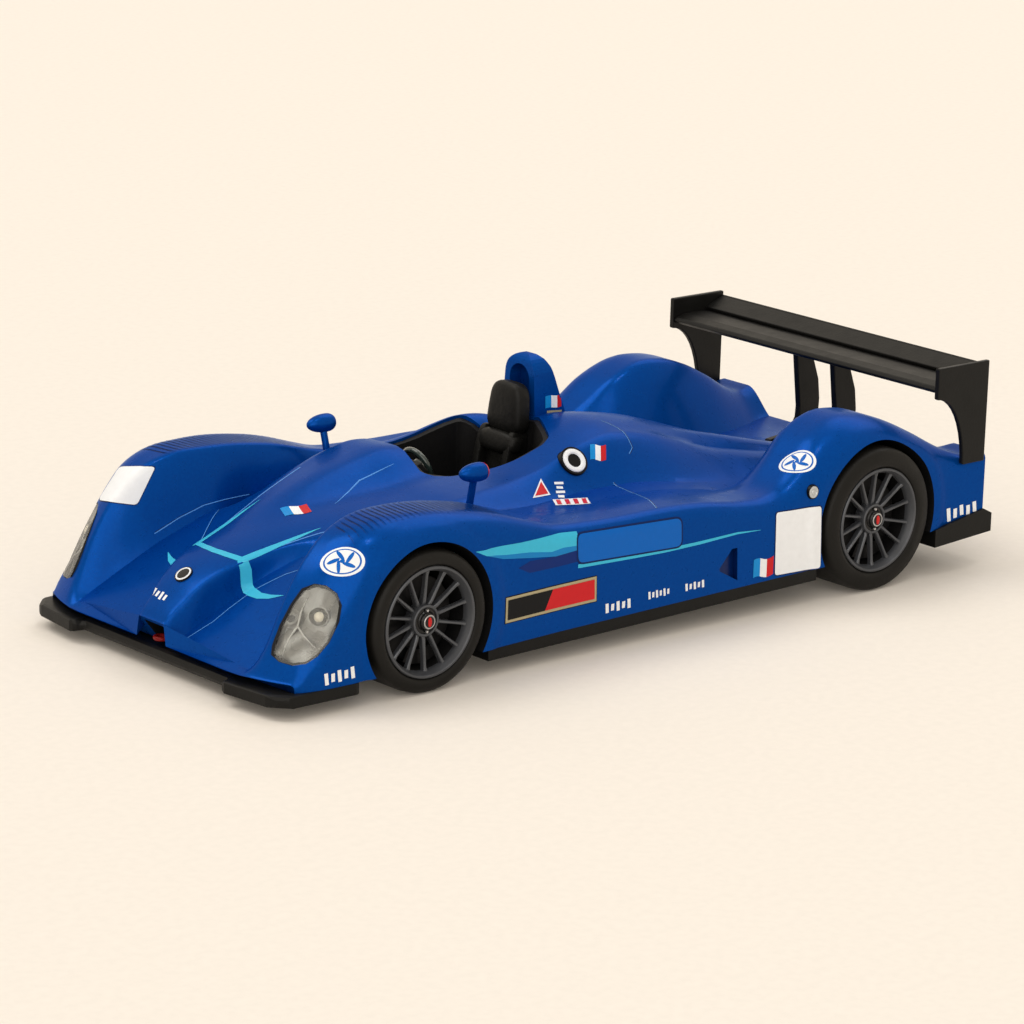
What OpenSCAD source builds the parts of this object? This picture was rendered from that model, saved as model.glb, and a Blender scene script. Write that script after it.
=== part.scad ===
// Open-cockpit sports prototype race car, a 1:43 display model.
// +X is forward, +Y is the car's left and +Z is up. The origin lies on the
// table under the middle of the overall length. Sizes are millimetres.

/* [Layout] */
// Overall length, from the splitter blocks to the end of the diffuser
overall_length = 106; // [105:0.5:109]
// Overall width, over the tyres
overall_width = 46; // [45.5:0.25:48]
// From the splitter blocks back to the front axle
front_overhang = 20.3; // [19.8:0.1:21]
// Distance between the axles
wheelbase = 66.8; // [65:0.2:68.5]
// Height of the body's bottom edge above the table, under the front axle
sill_height = 3.1; // [2.9:0.1:3.5]
// Rise of the bottom edge for each millimetre towards the tail
sill_rake = 0.018; // [0:0.002:0.02]

/* [Wheels] */
// Front tyre outer radius
front_tyre_r = 7.8; // [7.5:0.1:8]
// Rear tyre outer radius
rear_tyre_r = 8.4; // [8:0.1:8.6]
// Front tyre width
front_tyre_w = 7.4; // [6.6:0.1:7.8]
// Rear tyre width
rear_tyre_w = 8; // [7.6:0.1:8.2]
// Outer radius of the rim's flange, where the tyre sits
rim_r = 6.1; // [5.8:0.05:6.3]
// Width of the flat ring that shows round the spokes
rim_ring_w = 0.65; // [0.5:0.05:0.9]
// Number of spokes
spoke_count = 14; // [10:1:15]
// Width of a spoke
spoke_w = 0.42; // [0.3:0.02:0.5]
// Steel axle pin radius
axle_r = 0.75; // [0.6:0.05:0.9]
// Radial running clearance of an axle in its carrier
axle_clearance = 0.05; // [0.03:0.01:0.08]
// Gap between a tyre and the roof of its arch
arch_gap = 0.85; // [0.7:0.05:1.1]

/* [Body] */
// How far the painted body's front lip stands back from the splitter blocks
lip_setback = 0.9; // [0.5:0.1:1.5]
// How far the painted tail ends ahead of the diffuser
tail_setback = 1.4; // [0.8:0.1:2]
// Depth of the wheel wells, in from the tyre's inner face
well_clearance = 0.4; // [0.3:0.05:0.5]

/* [Cockpit] */
// Right edge of the cockpit opening, from the car's middle
cockpit_right = 14.6; // [14:0.1:14.8]
// Left edge of the cockpit opening, from the car's middle
cockpit_left = 3; // [2:0.1:3.4]
// Front edge of the cockpit opening, ahead of the middle of the car
cockpit_front = 15.5; // [14.5:0.1:16]
// Radius of the cockpit opening's corners
cockpit_corner = 1.8; // [1:0.1:2]
// Height of the tub's floor above the table
tub_floor_z = 5; // [4.6:0.1:6]
// Wall of the tub
tub_wall = 0.6; // [0.4:0.05:0.8]
// Height of the roll hoop's top above the table
hoop_top_z = 26; // [25:0.1:27]

/* [Wing] */
// Height of the end plates' top edge above the table
wing_top_z = 25; // [24:0.1:26]
// Length of the end plates
plate_length = 8.3; // [7.6:0.1:9]
// Thickness of the end plates
plate_t = 0.6; // [0.5:0.05:0.9]
// Distance from the middle of the car to each centre strut
strut_y = 3.1; // [2.4:0.1:4]
// Thickness of a centre strut
strut_t = 0.8; // [0.5:0.05:1]

/* [Mirrors] */
// Distance from the middle of the car to each mirror head
mirror_y = 13.2; // [12.8:0.1:14]
// Height of the mirror heads' middle
mirror_z = 19.9; // [19.4:0.1:21]

/* [Floor] */
// Thickness of the black floor pan
floor_t = 1.4; // [1.2:0.1:1.6]
// Radius of the two display screw holes
screw_r = 1.1; // [0.9:0.05:1.3]
// Depth of the display screw holes
screw_depth = 5; // [4:0.5:5.5]
// Distance between the two display screw holes
screw_spacing = 38; // [34:1:42]

/* [Hidden] */

paint = [0.02, 0.16, 0.52];
black = [0.07, 0.07, 0.07];
fine = 72;
nose_x = overall_length / 2;
tail_x = -overall_length / 2;
front_axle_x = nose_x - front_overhang;
rear_axle_x = front_axle_x - wheelbase;
half_width = overall_width / 2;
body_half = half_width - 0.3;
lip_x = nose_x - lip_setback;
body_tail_x = tail_x + tail_setback;

// The shape tables below were drawn for these places of the lip, axles and tail.
drawn_lip = 52.1;
drawn_front = 32.7;
drawn_rear = -34.1;
drawn_tail = -51.6;

// A place along the drawn car carried to the real lip, axles and tail.
function along(x) =
    x >= drawn_front ?
        front_axle_x + (x - drawn_front) * (lip_x - front_axle_x) / (drawn_lip - drawn_front) :
    x >= drawn_rear ? rear_axle_x + (x - drawn_rear) * wheelbase / (drawn_front - drawn_rear) :
    rear_axle_x + (x - drawn_rear) * (rear_axle_x - body_tail_x) / (drawn_rear - drawn_tail);

function sill(x) = sill_height + (front_axle_x - x) * sill_rake;
// The painted body's bottom edge, which rises again behind the rear axle.
function bottom_edge(x) = sill(x) + max(0, rear_axle_x - 2 - x) * 0.16;
function clamp01(t) = min(1, max(0, t));
function smooth(t) = let (u = clamp01(t)) u * u * (3 - 2 * u);

// Index of the table row just ahead of x; rows run from the nose to the tail.
function row_of(t, x, i = 0) = i >= len(t) - 2 || t[i + 1][0] <= x ? i : row_of(t, x, i + 1);
function slope_at(t, c, i) =
    i == 0 || i == len(t) - 1 ? 0 : (t[i + 1][c] - t[i - 1][c]) / (t[i + 1][0] - t[i - 1][0]);
// A smooth curve through column c of table t, read at x.
function curve(t, c, x) =
    let (i = row_of(t, x), a = t[i], b = t[i + 1], h = b[0] - a[0], u = clamp01((x - a[0]) / h),
        ma = slope_at(t, c, i) * h, mb = slope_at(t, c, i + 1) * h)
    (2 * u * u * u - 3 * u * u + 1) * a[c] + (u * u * u - 2 * u * u + u) * ma
    + (3 * u * u - 2 * u * u * u) * b[c] + (u * u * u - u * u) * mb;

// Columns of the body table.
INSET = 1;      // how far the side stands in from the body's half width
CREST = 2;      // height of the fender or side pod crest
CREST_Y = 3;    // inner edge of that crest
FOOT_Y = 4;     // foot of the crest's inner flank
VALLEY = 5;     // height at that foot
DECK = 6;       // height at the foot of the nose, tub or engine cover
SPINE_FOOT = 7; // where that foot lies across the car
SPINE_Y = 8;    // half width of the spine's rounded top
SPINE = 9;      // height at the top's edge
CROWN = 10;     // rise of the top's middle above its edge
ROUND = 11;     // radius of the outer shoulder
BODY = [
    [52.1, 1.2, 3.6, 17, 15, 3.55, 3.6, 2.6, 2.1, 5.9, 0, 0.5],
    [51.4, 0.8, 4.6, 17.2, 15.1, 3.8, 3.9, 2.9, 2.2, 6.7, 0.1, 1],
    [50, 0.5, 7.2, 17.2, 15.2, 4.5, 4.7, 3.3, 2.5, 8, 0.2, 2.6],
    [48.6, 0.3, 10.1, 17, 15, 5.3, 5.6, 3.6, 2.9, 9.3, 0.3, 3.6],
    [47, 0.2, 12.8, 16.8, 14.6, 6.3, 6.6, 4, 3.3, 10.4, 0.3, 4.4],
    [45, 0.1, 15.2, 16.6, 14, 7.6, 7.9, 4.6, 3.8, 11.3, 0.4, 4.8],
    [42, 0.1, 17.5, 16.2, 13.3, 9.4, 9.8, 5.4, 4.4, 12.2, 0.5, 4.6],
    [38, 0, 18.8, 15.6, 12.6, 11.2, 11.7, 6.6, 5.2, 13.2, 0.6, 4.2],
    [34.5, 0, 19, 15.2, 12.4, 12.2, 12.9, 7.8, 6, 13.9, 0.7, 3.8],
    [30, 0, 18.8, 15, 12.4, 12.6, 13.4, 9.4, 7, 14.5, 0.7, 3.2],
    [25, 0.1, 18.1, 15, 12.8, 13.4, 14, 11, 8.2, 15, 0.6, 2.8],
    [21.5, 0.2, 17.3, 15, 13.2, 14.2, 14.6, 11.8, 9, 15.4, 0.4, 2.6],
    [18, 0.3, 16.2, 15.2, 13.6, 14.8, 14.9, 12, 9, 15.9, 0.3, 2.2],
    [14, 0.4, 15.1, 16.4, 14, 14.6, 14.5, 11.6, 8.2, 16.1, 0.2, 1.8],
    [8, 0.4, 14.7, 18.2, 13.9, 14.2, 14.1, 10.8, 7, 16.2, 0.2, 1.6],
    [4, 0.4, 14.6, 18.6, 13.6, 14.1, 14.1, 10.2, 6.6, 16.7, 0.3, 1.6],
    [0, 0.4, 14.6, 18.8, 13.4, 14.1, 14.2, 9.8, 6.2, 17.8, 0.5, 1.6],
    [-4, 0.4, 14.5, 18.8, 13.2, 14, 14.2, 9.8, 5.8, 18.7, 0.7, 1.6],
    [-8, 0.4, 14.2, 18.6, 13, 13.8, 14.1, 10, 5.2, 19, 0.8, 1.6],
    [-14, 0.4, 13.4, 18, 12.6, 12.9, 13.3, 10.2, 4.4, 18, 1, 1.8],
    [-19, 0.4, 13.6, 17, 11.8, 11.9, 12.5, 9.8, 3.8, 16.4, 1.2, 2.4],
    [-23, 0.4, 16.2, 15.8, 10.8, 11.4, 12, 9.2, 3.2, 15, 1.3, 3.4],
    [-26, 0.4, 18.6, 15, 10.2, 11.2, 11.8, 8.4, 2.9, 14.1, 1.3, 4.2],
    [-30, 0.4, 20.2, 14.8, 9.8, 11.1, 11.6, 7.6, 2.6, 13.2, 1.2, 4.6],
    [-34, 0.4, 20.1, 14.8, 9.8, 11, 11.4, 7, 2.4, 12.4, 1, 4.6],
    [-38, 0.4, 18.9, 15, 10.2, 10.9, 11.2, 6.6, 2.2, 11.8, 0.6, 4.2],
    [-42, 0.4, 17, 15.4, 10.8, 10.8, 11, 6.2, 2, 11.3, 0.3, 3.6],
    [-46, 0.4, 14.8, 16.2, 12, 10.7, 10.8, 5.8, 2, 10.9, 0.1, 2.6],
    [-49, 0.3, 13.7, 17, 13.2, 10.7, 10.7, 5.6, 2, 10.7, 0, 1.2],
    [-51.6, 0.2, 13.9, 17.6, 13.6, 10.8, 10.8, 5.6, 2, 10.8, 0, 0.8]];
drawn_half = 22.7; // the half width the table was drawn for

// Columns of the driver's side table: rise of the cowl and of the right cockpit rim.
COWL = 1;
RIM = 2;
DRIVER = [
    [40, 0, 0], [36, 0.4, 0], [31, 1.3, 0], [25, 2.2, 0], [20, 2.7, 0], [17, 2.7, 0.4], [13, 2, 0.9],
    [9, 0.8, 1.4], [5, 0, 2], [1, 0, 2.9], [-2, 0, 3.4], [-6, 0, 3.2], [-11, 0, 1.9], [-17, 0, 0.5],
    [-22, 0, 0]];
cowl_y = -6.6;

// The duct behind each front wheel sinks the valley here.
outlet = [29.5, 12, 2.6]; // its middle along the car, across it, and its depth

// How far the crests and their feet move out when the car is made wider.
widen = body_half - drawn_half;
function read_row(x) = [for (c = [0:11])
    c == 0 ? x : curve(BODY, c, x) + (c == CREST_Y || c == FOOT_Y ? widen : 0)];

function bell(t) = abs(t) >= 1 ? 0 : (1 + cos(180 * t)) / 2;
// A flank that leaves its crest gently and meets its foot at a crease.
function bend(t) = let (u = clamp01(t)) 0.4 * smooth(u) + 0.6 * (1 - cos(90 * u));
// The nose is swept back towards its corners.
function bow(x, y) = 3 * smooth((x - 38) / 10) * pow(max(0, abs(y) - widen - 12.5) / 10, 2);

// Height of the skin between the shoulders, before the cowl, the rim and the ducts; r is a table row.
function plain_z(r, a) =
    a <= r[SPINE_Y] ? r[SPINE] + r[CROWN] * (1 - pow(a / r[SPINE_Y], 2)) :
    a <= r[SPINE_FOOT] ?
        r[SPINE] + (r[DECK] - r[SPINE]) * bend((a - r[SPINE_Y]) / (r[SPINE_FOOT] - r[SPINE_Y])) :
    a <= r[FOOT_Y] ? r[DECK] + (r[VALLEY] - r[DECK]) * (a - r[SPINE_FOOT]) / (r[FOOT_Y] - r[SPINE_FOOT]) :
    a <= r[CREST_Y] ? r[CREST] + (r[VALLEY] - r[CREST]) * bend((r[CREST_Y] - a) / (r[CREST_Y] - r[FOOT_Y])) :
    r[CREST];
function top_z(r, y) = plain_z(r, abs(y))
    + curve(DRIVER, COWL, r[0]) * smooth((8 - abs(y - cowl_y)) / 5.5)
    + curve(DRIVER, RIM, r[0]) * bell((y + 14.4) / 4.4)
    - outlet[2] * bell((r[0] - outlet[0]) / 5) * bell((abs(y) - outlet[1]) / 2.6);
// Height of the skin at a drawn station and a place across the car.
function skin_z(x, y) = top_z(read_row(x), y);

side_arc = [0, 22.5, 45, 67.5];
function steps(a, b, n) = [for (k = [1:n]) a + (b - a) * k / n];
// Places across the left half, set on the table's edges so that creases stay crisp.
function half_places(r, flat) = concat(steps(0, r[SPINE_Y], 2), steps(r[SPINE_Y], r[SPINE_FOOT], 5),
    steps(r[SPINE_FOOT], r[FOOT_Y], 2), steps(r[FOOT_Y], r[CREST_Y], 5), steps(r[CREST_Y], flat, 2));

// One closed section of the body at drawn station x, from the left sill over to the right.
function body_section(x) =
    let (px = along(x), r = read_row(x), hw = body_half - r[INSET],
        flat = max(hw - r[ROUND], r[CREST_Y] + 0.2),
        out = hw - flat, bottom = bottom_edge(px - bow(x, hw)),
        places = half_places(r, flat), n = len(places),
        z_left = top_z(r, flat), z_right = top_z(r, -flat),
        drop_l = min(r[ROUND], z_left - bottom - 0.1), drop_r = min(r[ROUND], z_right - bottom - 0.1),
        across_car = concat(
            [[hw, bottom]],
            [for (a = side_arc) [flat + out * cos(a), z_left - drop_l + drop_l * sin(a)]],
            [for (i = [n - 1:-1:0]) [places[i], top_z(r, places[i])]],
            [[0, top_z(r, 0)]],
            [for (y = places) [-y, top_z(r, -y)]],
            [for (k = [3:-1:0]) let (a = side_arc[k])
                [-flat - out * cos(a), z_right - drop_r + drop_r * sin(a)]],
            [[-hw, bottom], [0, bottom_edge(px)]]))
    [for (q = across_car) [px - bow(x, q[0]), q[0], q[1]]];

// Joins equal closed sections into one solid. The last point of a section lies under its middle;
// a bowed front end is closed by triangles that meet there.
module skin(sections, bowed = false) {
    k = len(sections[0]);
    n = len(sections);
    points = [for (s = sections) for (p = s) p];
    sides = [for (i = [0:n - 2]) for (j = [0:k - 1]) let (m = (j + 1) % k, a = i * k, b = a + k)
        each [[a + j, b + j, b + m], [a + j, b + m, a + m]]];
    first = bowed ? [for (j = [0:k - 3]) [k - 1, j, j + 1]] : [[for (j = [0:k - 1]) j]];
    last = [[for (j = [k - 1:-1:0]) (n - 1) * k + j]];
    polyhedron(points, concat(sides, first, last), convexity = 10);
}

// Stations of the body skin, closer where the nose and the arches curve most.
stations = concat([for (x = [52.1, 51.8, 51.4, 50.8]) x], [for (x = [50:-1:38]) x], [for (x = [36:-2:26]) x],
    [for (x = [24:-2:-20]) x], [for (x = [-21:-1.5:-48]) x], [-49.5, -50.6, -51.6]);

nose_stations = [for (x = stations) if (x > 37) x];
tub_stations = [for (x = stations) if (x > -8 && x < 22) x];
front_wheel_in = half_width - front_tyre_w - well_clearance;
rear_wheel_in = half_width - 0.2 - rear_tyre_w - well_clearance;
front_arch_r = front_tyre_r + arch_gap;
rear_arch_r = rear_tyre_r + arch_gap;

module skin_of(list) {
    skin([for (x = list) body_section(x)], bowed = list[0] > 38);
}

module both_sides() {
    children();
    mirror([0, 1, 0]) children();
}

// A profile drawn along the car and upward, made w thick about y = 0.
module side_slab(w) {
    rotate([90, 0, 0]) linear_extrude(w, center = true) children();
}

// A disc across the car at x and z, between y = y0 and y = y1.
module across(x, z, r, y0, y1) {
    translate([x, y1, z]) rotate([90, 0, 0]) cylinder(r = r, h = y1 - y0, $fn = fine);
}

// The cockpit opening seen from above, anticlockwise.
cockpit_edge = [[cockpit_front, 2.4 - cockpit_right], [cockpit_front, cockpit_left - 2.5],
    [cockpit_front - 2.3, cockpit_left - 0.4], [0.2, cockpit_left], [-1.5, cockpit_left - 0.8], [-4.9, -3.6],
    [-4.9, 2.6 - cockpit_right], [-2.5, -cockpit_right], [cockpit_front - 2.7, -cockpit_right]];

function unit(v) = v / norm(v);
// Corner i of a closed path, moved inward by d.
function inset_corner(p, i, d) =
    let (k = len(p), a = unit(p[i] - p[(i + k - 1) % k]), b = unit(p[(i + 1) % k] - p[i]),
        n = [-a[1] - b[1], a[0] + b[0]])
    p[i] + d * n / (1 + a * b);
// Corner i of a closed path, rounded to radius r.
function round_corner(p, i, r) =
    let (k = len(p), a = unit(p[(i + k - 1) % k] - p[i]), b = unit(p[(i + 1) % k] - p[i]),
        half = acos(a * b) / 2, mid = p[i] + unit(a + b) * r / sin(half),
        first = p[i] + a * r / tan(half) - mid, turn = (180 - 2 * half) / 5)
    [for (j = [0:5]) mid + [first[0] * cos(j * turn) - first[1] * sin(j * turn),
        first[0] * sin(j * turn) + first[1] * cos(j * turn)]];

module cockpit_plan(inward) {
    edge = [for (q = cockpit_edge) [along(q[0]), q[1]]];
    path = [for (i = [0:len(edge) - 1]) inset_corner(edge, i, inward)];
    polygon([for (i = [0:len(path) - 1]) each round_corner(path, i, cockpit_corner)]);
}

// A tunnel across the car for an axle and its carriers.
module axle_tunnel(x, z, y_in) {
    translate([x - 2.3, -y_in - 1, 0]) cube([4.6, 2 * y_in + 2, z + 2.2]);
}

// The lamp's outline on its tilted seat: down the slope, then outward.
lamp_shape = [[-3.7, -0.6], [-4.3, 0.7], [-4.2, 2], [-3.5, 3.2], [-2.3, 3.8], [-0.6, 3.7], [1.7, 2.9],
    [3.2, 1.9], [4.1, 0.8], [4.4, -0.6], [4.1, -2.1], [3.4, -3.1], [2.4, -3.1], [0.2, -2.5], [-2, -1.6]];
lamp_place = [along(46.9), half_width - 3.6, 9.2];
lamp_tilt = 68;
lamp_turn = 38;
// A prism on the left lamp's seat, from depth d0 to depth d1 measured up from the seat's face.
module lamp_prism(d0, d1, size = 1) {
    translate(lamp_place) rotate([0, lamp_tilt, lamp_turn]) translate([0, 0, d0]) linear_extrude(d1 - d0)
        scale(size) polygon(lamp_shape);
}

// A small scoop in the side pod, deepest at its rear.
module side_scoop() {
    x = along(-10.5);
    translate([0, half_width - 23, 5]) linear_extrude(3.7)
        polygon([[x + 1.6, 23.5], [x - 1.4, 21.7], [x - 1.6, 21.7], [x - 1.6, 23.5]]);
}

module body_shell() {
    color(paint) difference() {
        skin_of(stations);
        both_sides() {
            across(front_axle_x, front_tyre_r, front_arch_r, front_wheel_in, half_width + 1);
            across(rear_axle_x, rear_tyre_r, rear_arch_r, rear_wheel_in, half_width + 1);
            lamp_prism(-2.3, 5);
            mirror_arm(0.45, 9);
            across(fastener_x, 13.3, 0.85, half_width - 2.3, half_width + 1);
            side_scoop();
            translate([body_tail_x - 1, half_width - 5, tail_light_z]) cube([1.65, 2.4, 2.6]);
            translate([wing_front_x - plate_length - 5, half_width - 0.32 - plate_t, 13])
                cube([plate_length + 0.4, 2, 9]);
            translate([wing_front_x - 6.35, strut_y - strut_t / 2 - 0.03, 9.5])
                cube([8.3, strut_t + 0.06, 8]);
        }
        axle_tunnel(front_axle_x, front_tyre_r, front_wheel_in);
        axle_tunnel(rear_axle_x, rear_tyre_r, rear_wheel_in);
        translate([0, 0, tub_floor_z - tub_wall]) linear_extrude(30) cockpit_plan(0);
        translate([lip_x - 3, -1.75, 3.4]) cube([4, 3.5, 2.1]);
        for (i = [-1, 1]) translate([i * screw_spacing / 2, 0, 0])
            cylinder(r = screw_r + 1.5, h = sill(0) + screw_depth, $fn = fine);
        fuel_cap(1.75, 6);
        translate([hoop_x - 5, hoop_y - 2.95, 16.5]) cube([5.2, 5.9, 9]);
        nose_lens_plug(0.05);
    }
}

// The clear moulded cover lies flush with the fender's skin.
module headlight_lens() {
    color([0.8, 0.85, 0.9, 0.6]) intersection() {
        lamp_prism(-1.3, 5, 0.99);
        skin_of(nose_stations);
    }
}

module headlight_bucket() {
    color(black) lamp_prism(-2.3, -1.35, 0.99);
}

module headlight_lens_left() {
    headlight_lens();
}

module headlight_lens_right() {
    mirror([0, 1, 0]) headlight_lens();
}

module headlight_bucket_left() {
    headlight_bucket();
}

module headlight_bucket_right() {
    mirror([0, 1, 0]) headlight_bucket();
}

// Lays a plan on the raked plane of the body's bottom edge, t thick below it.
module under_plate(t) {
    translate([front_axle_x, 0, sill_height - 0.02]) rotate([0, atan(sill_rake), 0])
        translate([-front_axle_x, 0, -t]) linear_extrude(t) children();
}

// A standing block with a bore for an axle.
module carrier(x, z, r, y) {
    difference() {
        translate([x - 2, y - 1.5, sill(x) - 0.5]) cube([4, 3, z + 1.9 - sill(x) + 0.5]);
        across(x, z, r, y - 2, y + 2);
    }
}

module floor_pan() {
    color(black) difference() {
        union() {
            under_plate(floor_t) difference() {
                translate([rear_axle_x - 5, -half_width + 0.8])
                    square([front_axle_x - rear_axle_x + 12.2, 2 * half_width - 1.6]);
                for (s = [-1, 1]) {
                    translate([front_axle_x - front_arch_r, s > 0 ? front_wheel_in : -30])
                        square([2 * front_arch_r, 30 - front_wheel_in]);
                    translate([rear_axle_x - rear_arch_r, s > 0 ? rear_wheel_in : -30])
                        square([2 * rear_arch_r, 30 - rear_wheel_in]);
                }
            }
            for (y = [-9, 9]) {
                carrier(front_axle_x, front_tyre_r, axle_r + axle_clearance, y);
                carrier(rear_axle_x, rear_tyre_r, axle_r + axle_clearance, y);
            }
            for (i = [-1, 1]) translate([i * screw_spacing / 2, 0, sill(i * screw_spacing / 2) - 0.5])
                cylinder(r = screw_r + 1.4, h = screw_depth, $fn = fine);
        }
        for (i = [-1, 1]) translate([i * screw_spacing / 2, 0, 0])
            cylinder(r = screw_r, h = screw_depth + sill(i * screw_spacing / 2) - floor_t, $fn = fine);
    }
}

module splitter() {
    left = [[front_axle_x + 7.3, 14.4], [front_axle_x + front_arch_r + 0.4, 14.6],
        [front_axle_x + front_arch_r + 0.4, body_half], [nose_x - 2.2, body_half - 0.5],
        [nose_x - 0.8, body_half - 2.1], [nose_x, 13.2], [nose_x - 1.3, 12.8]];
    right = [for (i = [len(left) - 1:-1:0]) [left[i][0], -left[i][1]]];
    color([0.13, 0.13, 0.14]) under_plate(1.4) polygon(concat(left, right));
}

module diffuser() {
    x0 = rear_axle_x - 5.05;
    x1 = rear_axle_x - rear_arch_r - 0.3;
    z = bottom_edge(body_tail_x); // the body's edge at the tail
    color(black) difference() {
        union() {
            side_slab(26) polygon([[x0, bottom_edge(x0)], [x0, sill(x0) - floor_t], [tail_x, z - 2.5],
                [tail_x, z - 0.7], [body_tail_x, z]]);
            both_sides() translate([0, half_width - 5, 0]) side_slab(9.4) polygon([[x1, bottom_edge(x1)],
                [x1, 3.6], [tail_x, z - 2.9], [tail_x, z - 0.7], [body_tail_x, z]]);
        }
        for (y = [-16.2:6.6:17]) translate([0, y, 0]) side_slab(5.6)
            polygon([[x1 - 1.5, 2], [x1 - 1.5, 3.7], [tail_x - 1, z - 1.2], [tail_x - 1, 2]]);
    }
}

module cockpit_tub() {
    color(black) difference() {
        intersection() {
            translate([0, 0, tub_floor_z - tub_wall]) linear_extrude(20) cockpit_plan(0.05);
            translate([0, 0, -0.3]) skin_of(tub_stations);
        }
        translate([0, 0, tub_floor_z]) linear_extrude(30) cockpit_plan(tub_wall);
    }
}

seat_x = along(-4.9) + tub_wall + 0.05; // the seat's back against the tub's rear wall
seat_y = -7.5;
module seat() {
    x = seat_x;
    color([0.09, 0.09, 0.1]) {
        translate([0, seat_y, 0]) side_slab(3.6) polygon([[x, tub_floor_z], [x + 10, tub_floor_z],
            [x + 10, 7.6], [x + 5.4, 6.8], [x + 2.8, 8.4], [x + 1.5, 17.4], [x + 1.3, 18.6], [x, 18.6]]);
        for (s = [-1, 1]) translate([0, seat_y + s * 2.2, 0]) side_slab(0.8) polygon([[x, tub_floor_z],
            [x + 10, tub_floor_z], [x + 10, 8.6], [x + 6.4, 9.2], [x + 4, 12], [x + 2.4, 16.4], [x, 17.8]]);
        translate([0, seat_y + 0.5, 0]) side_slab(6.2) polygon([[x - 0.4, 18.4], [x + 1.8, 18.2],
            [x + 2.1, 19.6], [x + 1.9, 21.2], [x + 1.5, 22.4], [x + 0.8, 23], [x, 23], [x - 0.4, 22.5]]);
    }
}

dash_x = along(cockpit_front) - tub_wall - 0.05;
module dash() {
    x = dash_x;
    color([0.1, 0.1, 0.1]) translate([0, cowl_y, 0]) side_slab(8.4)
        polygon([[x, 11], [x, 16.4], [x - 1.6, 16.8], [x - 2.6, 15.8], [x - 2, 11]]);
}

module steering_wheel() {
    color([0.12, 0.12, 0.12]) translate([dash_x - 2.8, cowl_y, 14.4]) rotate([0, -68, 0]) {
        cylinder(r = 0.5, h = 1.8, $fn = 24);
        translate([0, 0, 1.8]) {
            rotate_extrude($fn = 48) translate([2.1, 0]) circle(0.35, $fn = 16);
            translate([-0.4, -2, -0.25]) cube([0.8, 4, 0.5]);
            cylinder(r = 0.8, h = 0.6, center = true, $fn = 24);
        }
    }
}

hoop_x = along(-5); // the hoop's front face
hoop_y = -7.2;
module roll_hoop() {
    x = hoop_x;
    z = hoop_top_z;
    color(paint) translate([0, hoop_y, 0]) difference() {
        intersection() {
            side_slab(8) polygon(concat([[x, 16.6]],
                [for (a = [0:15:90]) [x - 1.2 + 1.2 * cos(a), z - 1.2 + 1.2 * sin(a)]],
                [[x - 1.7, z - 0.15], [x - 2.2, z - 0.6], [x - 2.7, z - 1.5], [x - 3.2, z - 2.8],
                [x - 3.8, z - 4.6], [x - 4.9, 18.4], [x - 4.9, 16.6]]));
            translate([x - 12, 0, 0]) rotate([90, 0, 90]) linear_extrude(20)
                polygon(concat([[2.85, 16.6], [2.85, 18.4], [2.7, z - 5]],
                [for (a = [0:10:180]) [2.5 * cos(a), z - 2.5 + 2.5 * sin(a)]],
                [[-2.7, z - 5], [-2.85, 18.4], [-2.85, 16.6]]));
        }
        translate([x - 1.7, 0, 0]) rotate([90, 0, 90]) linear_extrude(20) {
            translate([-1.7, 19]) square([3.4, z - 21.9]);
            translate([0, z - 2.9]) circle(1.7, $fn = 48);
        }
    }
}

mirror_foot = [along(18.6), mirror_y - 1.6, 13.4];
mirror_head = [along(18.9), mirror_y, mirror_z];
// The left mirror's slanted arm, from its foot up to a share of its length.
module mirror_arm(r, over = 0) {
    v = mirror_head - mirror_foot;
    translate(mirror_foot) rotate([0, acos(v[2] / norm(v)), atan2(v[1], v[0])])
        cylinder(r = r, h = norm(v) + over, $fn = 24);
}

module mirror_and_arm() {
    color(paint) {
        translate(mirror_head) rotate([0, -90, 0]) rotate_extrude($fn = 48)
            polygon([[0, -2.1], [0.45, -1.9], [0.8, -1.3], [1, -0.4], [1.05, 0.5], [0.95, 1.2],
                [0.6, 1.6], [0, 1.7]]);
        mirror_arm(0.4);
    }
}

module mirror_left() {
    mirror_and_arm();
}

module mirror_right() {
    mirror([0, 1, 0]) mirror_and_arm();
}

wing_front_x = tail_x + 10.1;
module wing() {
    x = wing_front_x;
    z = wing_top_z;
    span = 2 * (half_width - 0.3 - plate_t);
    color(black) {
        side_slab(span) polygon([[x, z - 2.7], [x - 0.3, z - 2.3], [x - 1.6, z - 2], [x - 4.4, z - 2],
            [x - 6.2, z - 2.1], [x - 6.2, z - 2.6], [x - 4.4, z - 2.8], [x - 1.6, z - 3.1],
            [x - 0.4, z - 3.1]]);
        side_slab(span) polygon([[x - 5.4, z - 2], [x - 5.3, z - 1.6], [x - 7.8, z - 0.6],
            [x - 8.1, z - 0.4], [x - 8.1, z - 0.9], [x - 6.2, z - 2.3]]);
    }
}

module end_plate() {
    x = wing_front_x;
    color(black) translate([0, half_width - 0.3 - plate_t / 2, 0]) side_slab(plate_t)
        polygon(concat([[x + 0.1, wing_top_z]],
            [for (a = [90:-9:0]) [x + 0.1 - 4.7 * cos(a), 13 + (wing_top_z - 16.7) * sin(a)]],
            [[x - plate_length, 13], [x - plate_length, wing_top_z]]));
}

module end_plate_left() {
    end_plate();
}

module end_plate_right() {
    mirror([0, 1, 0]) end_plate();
}

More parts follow.
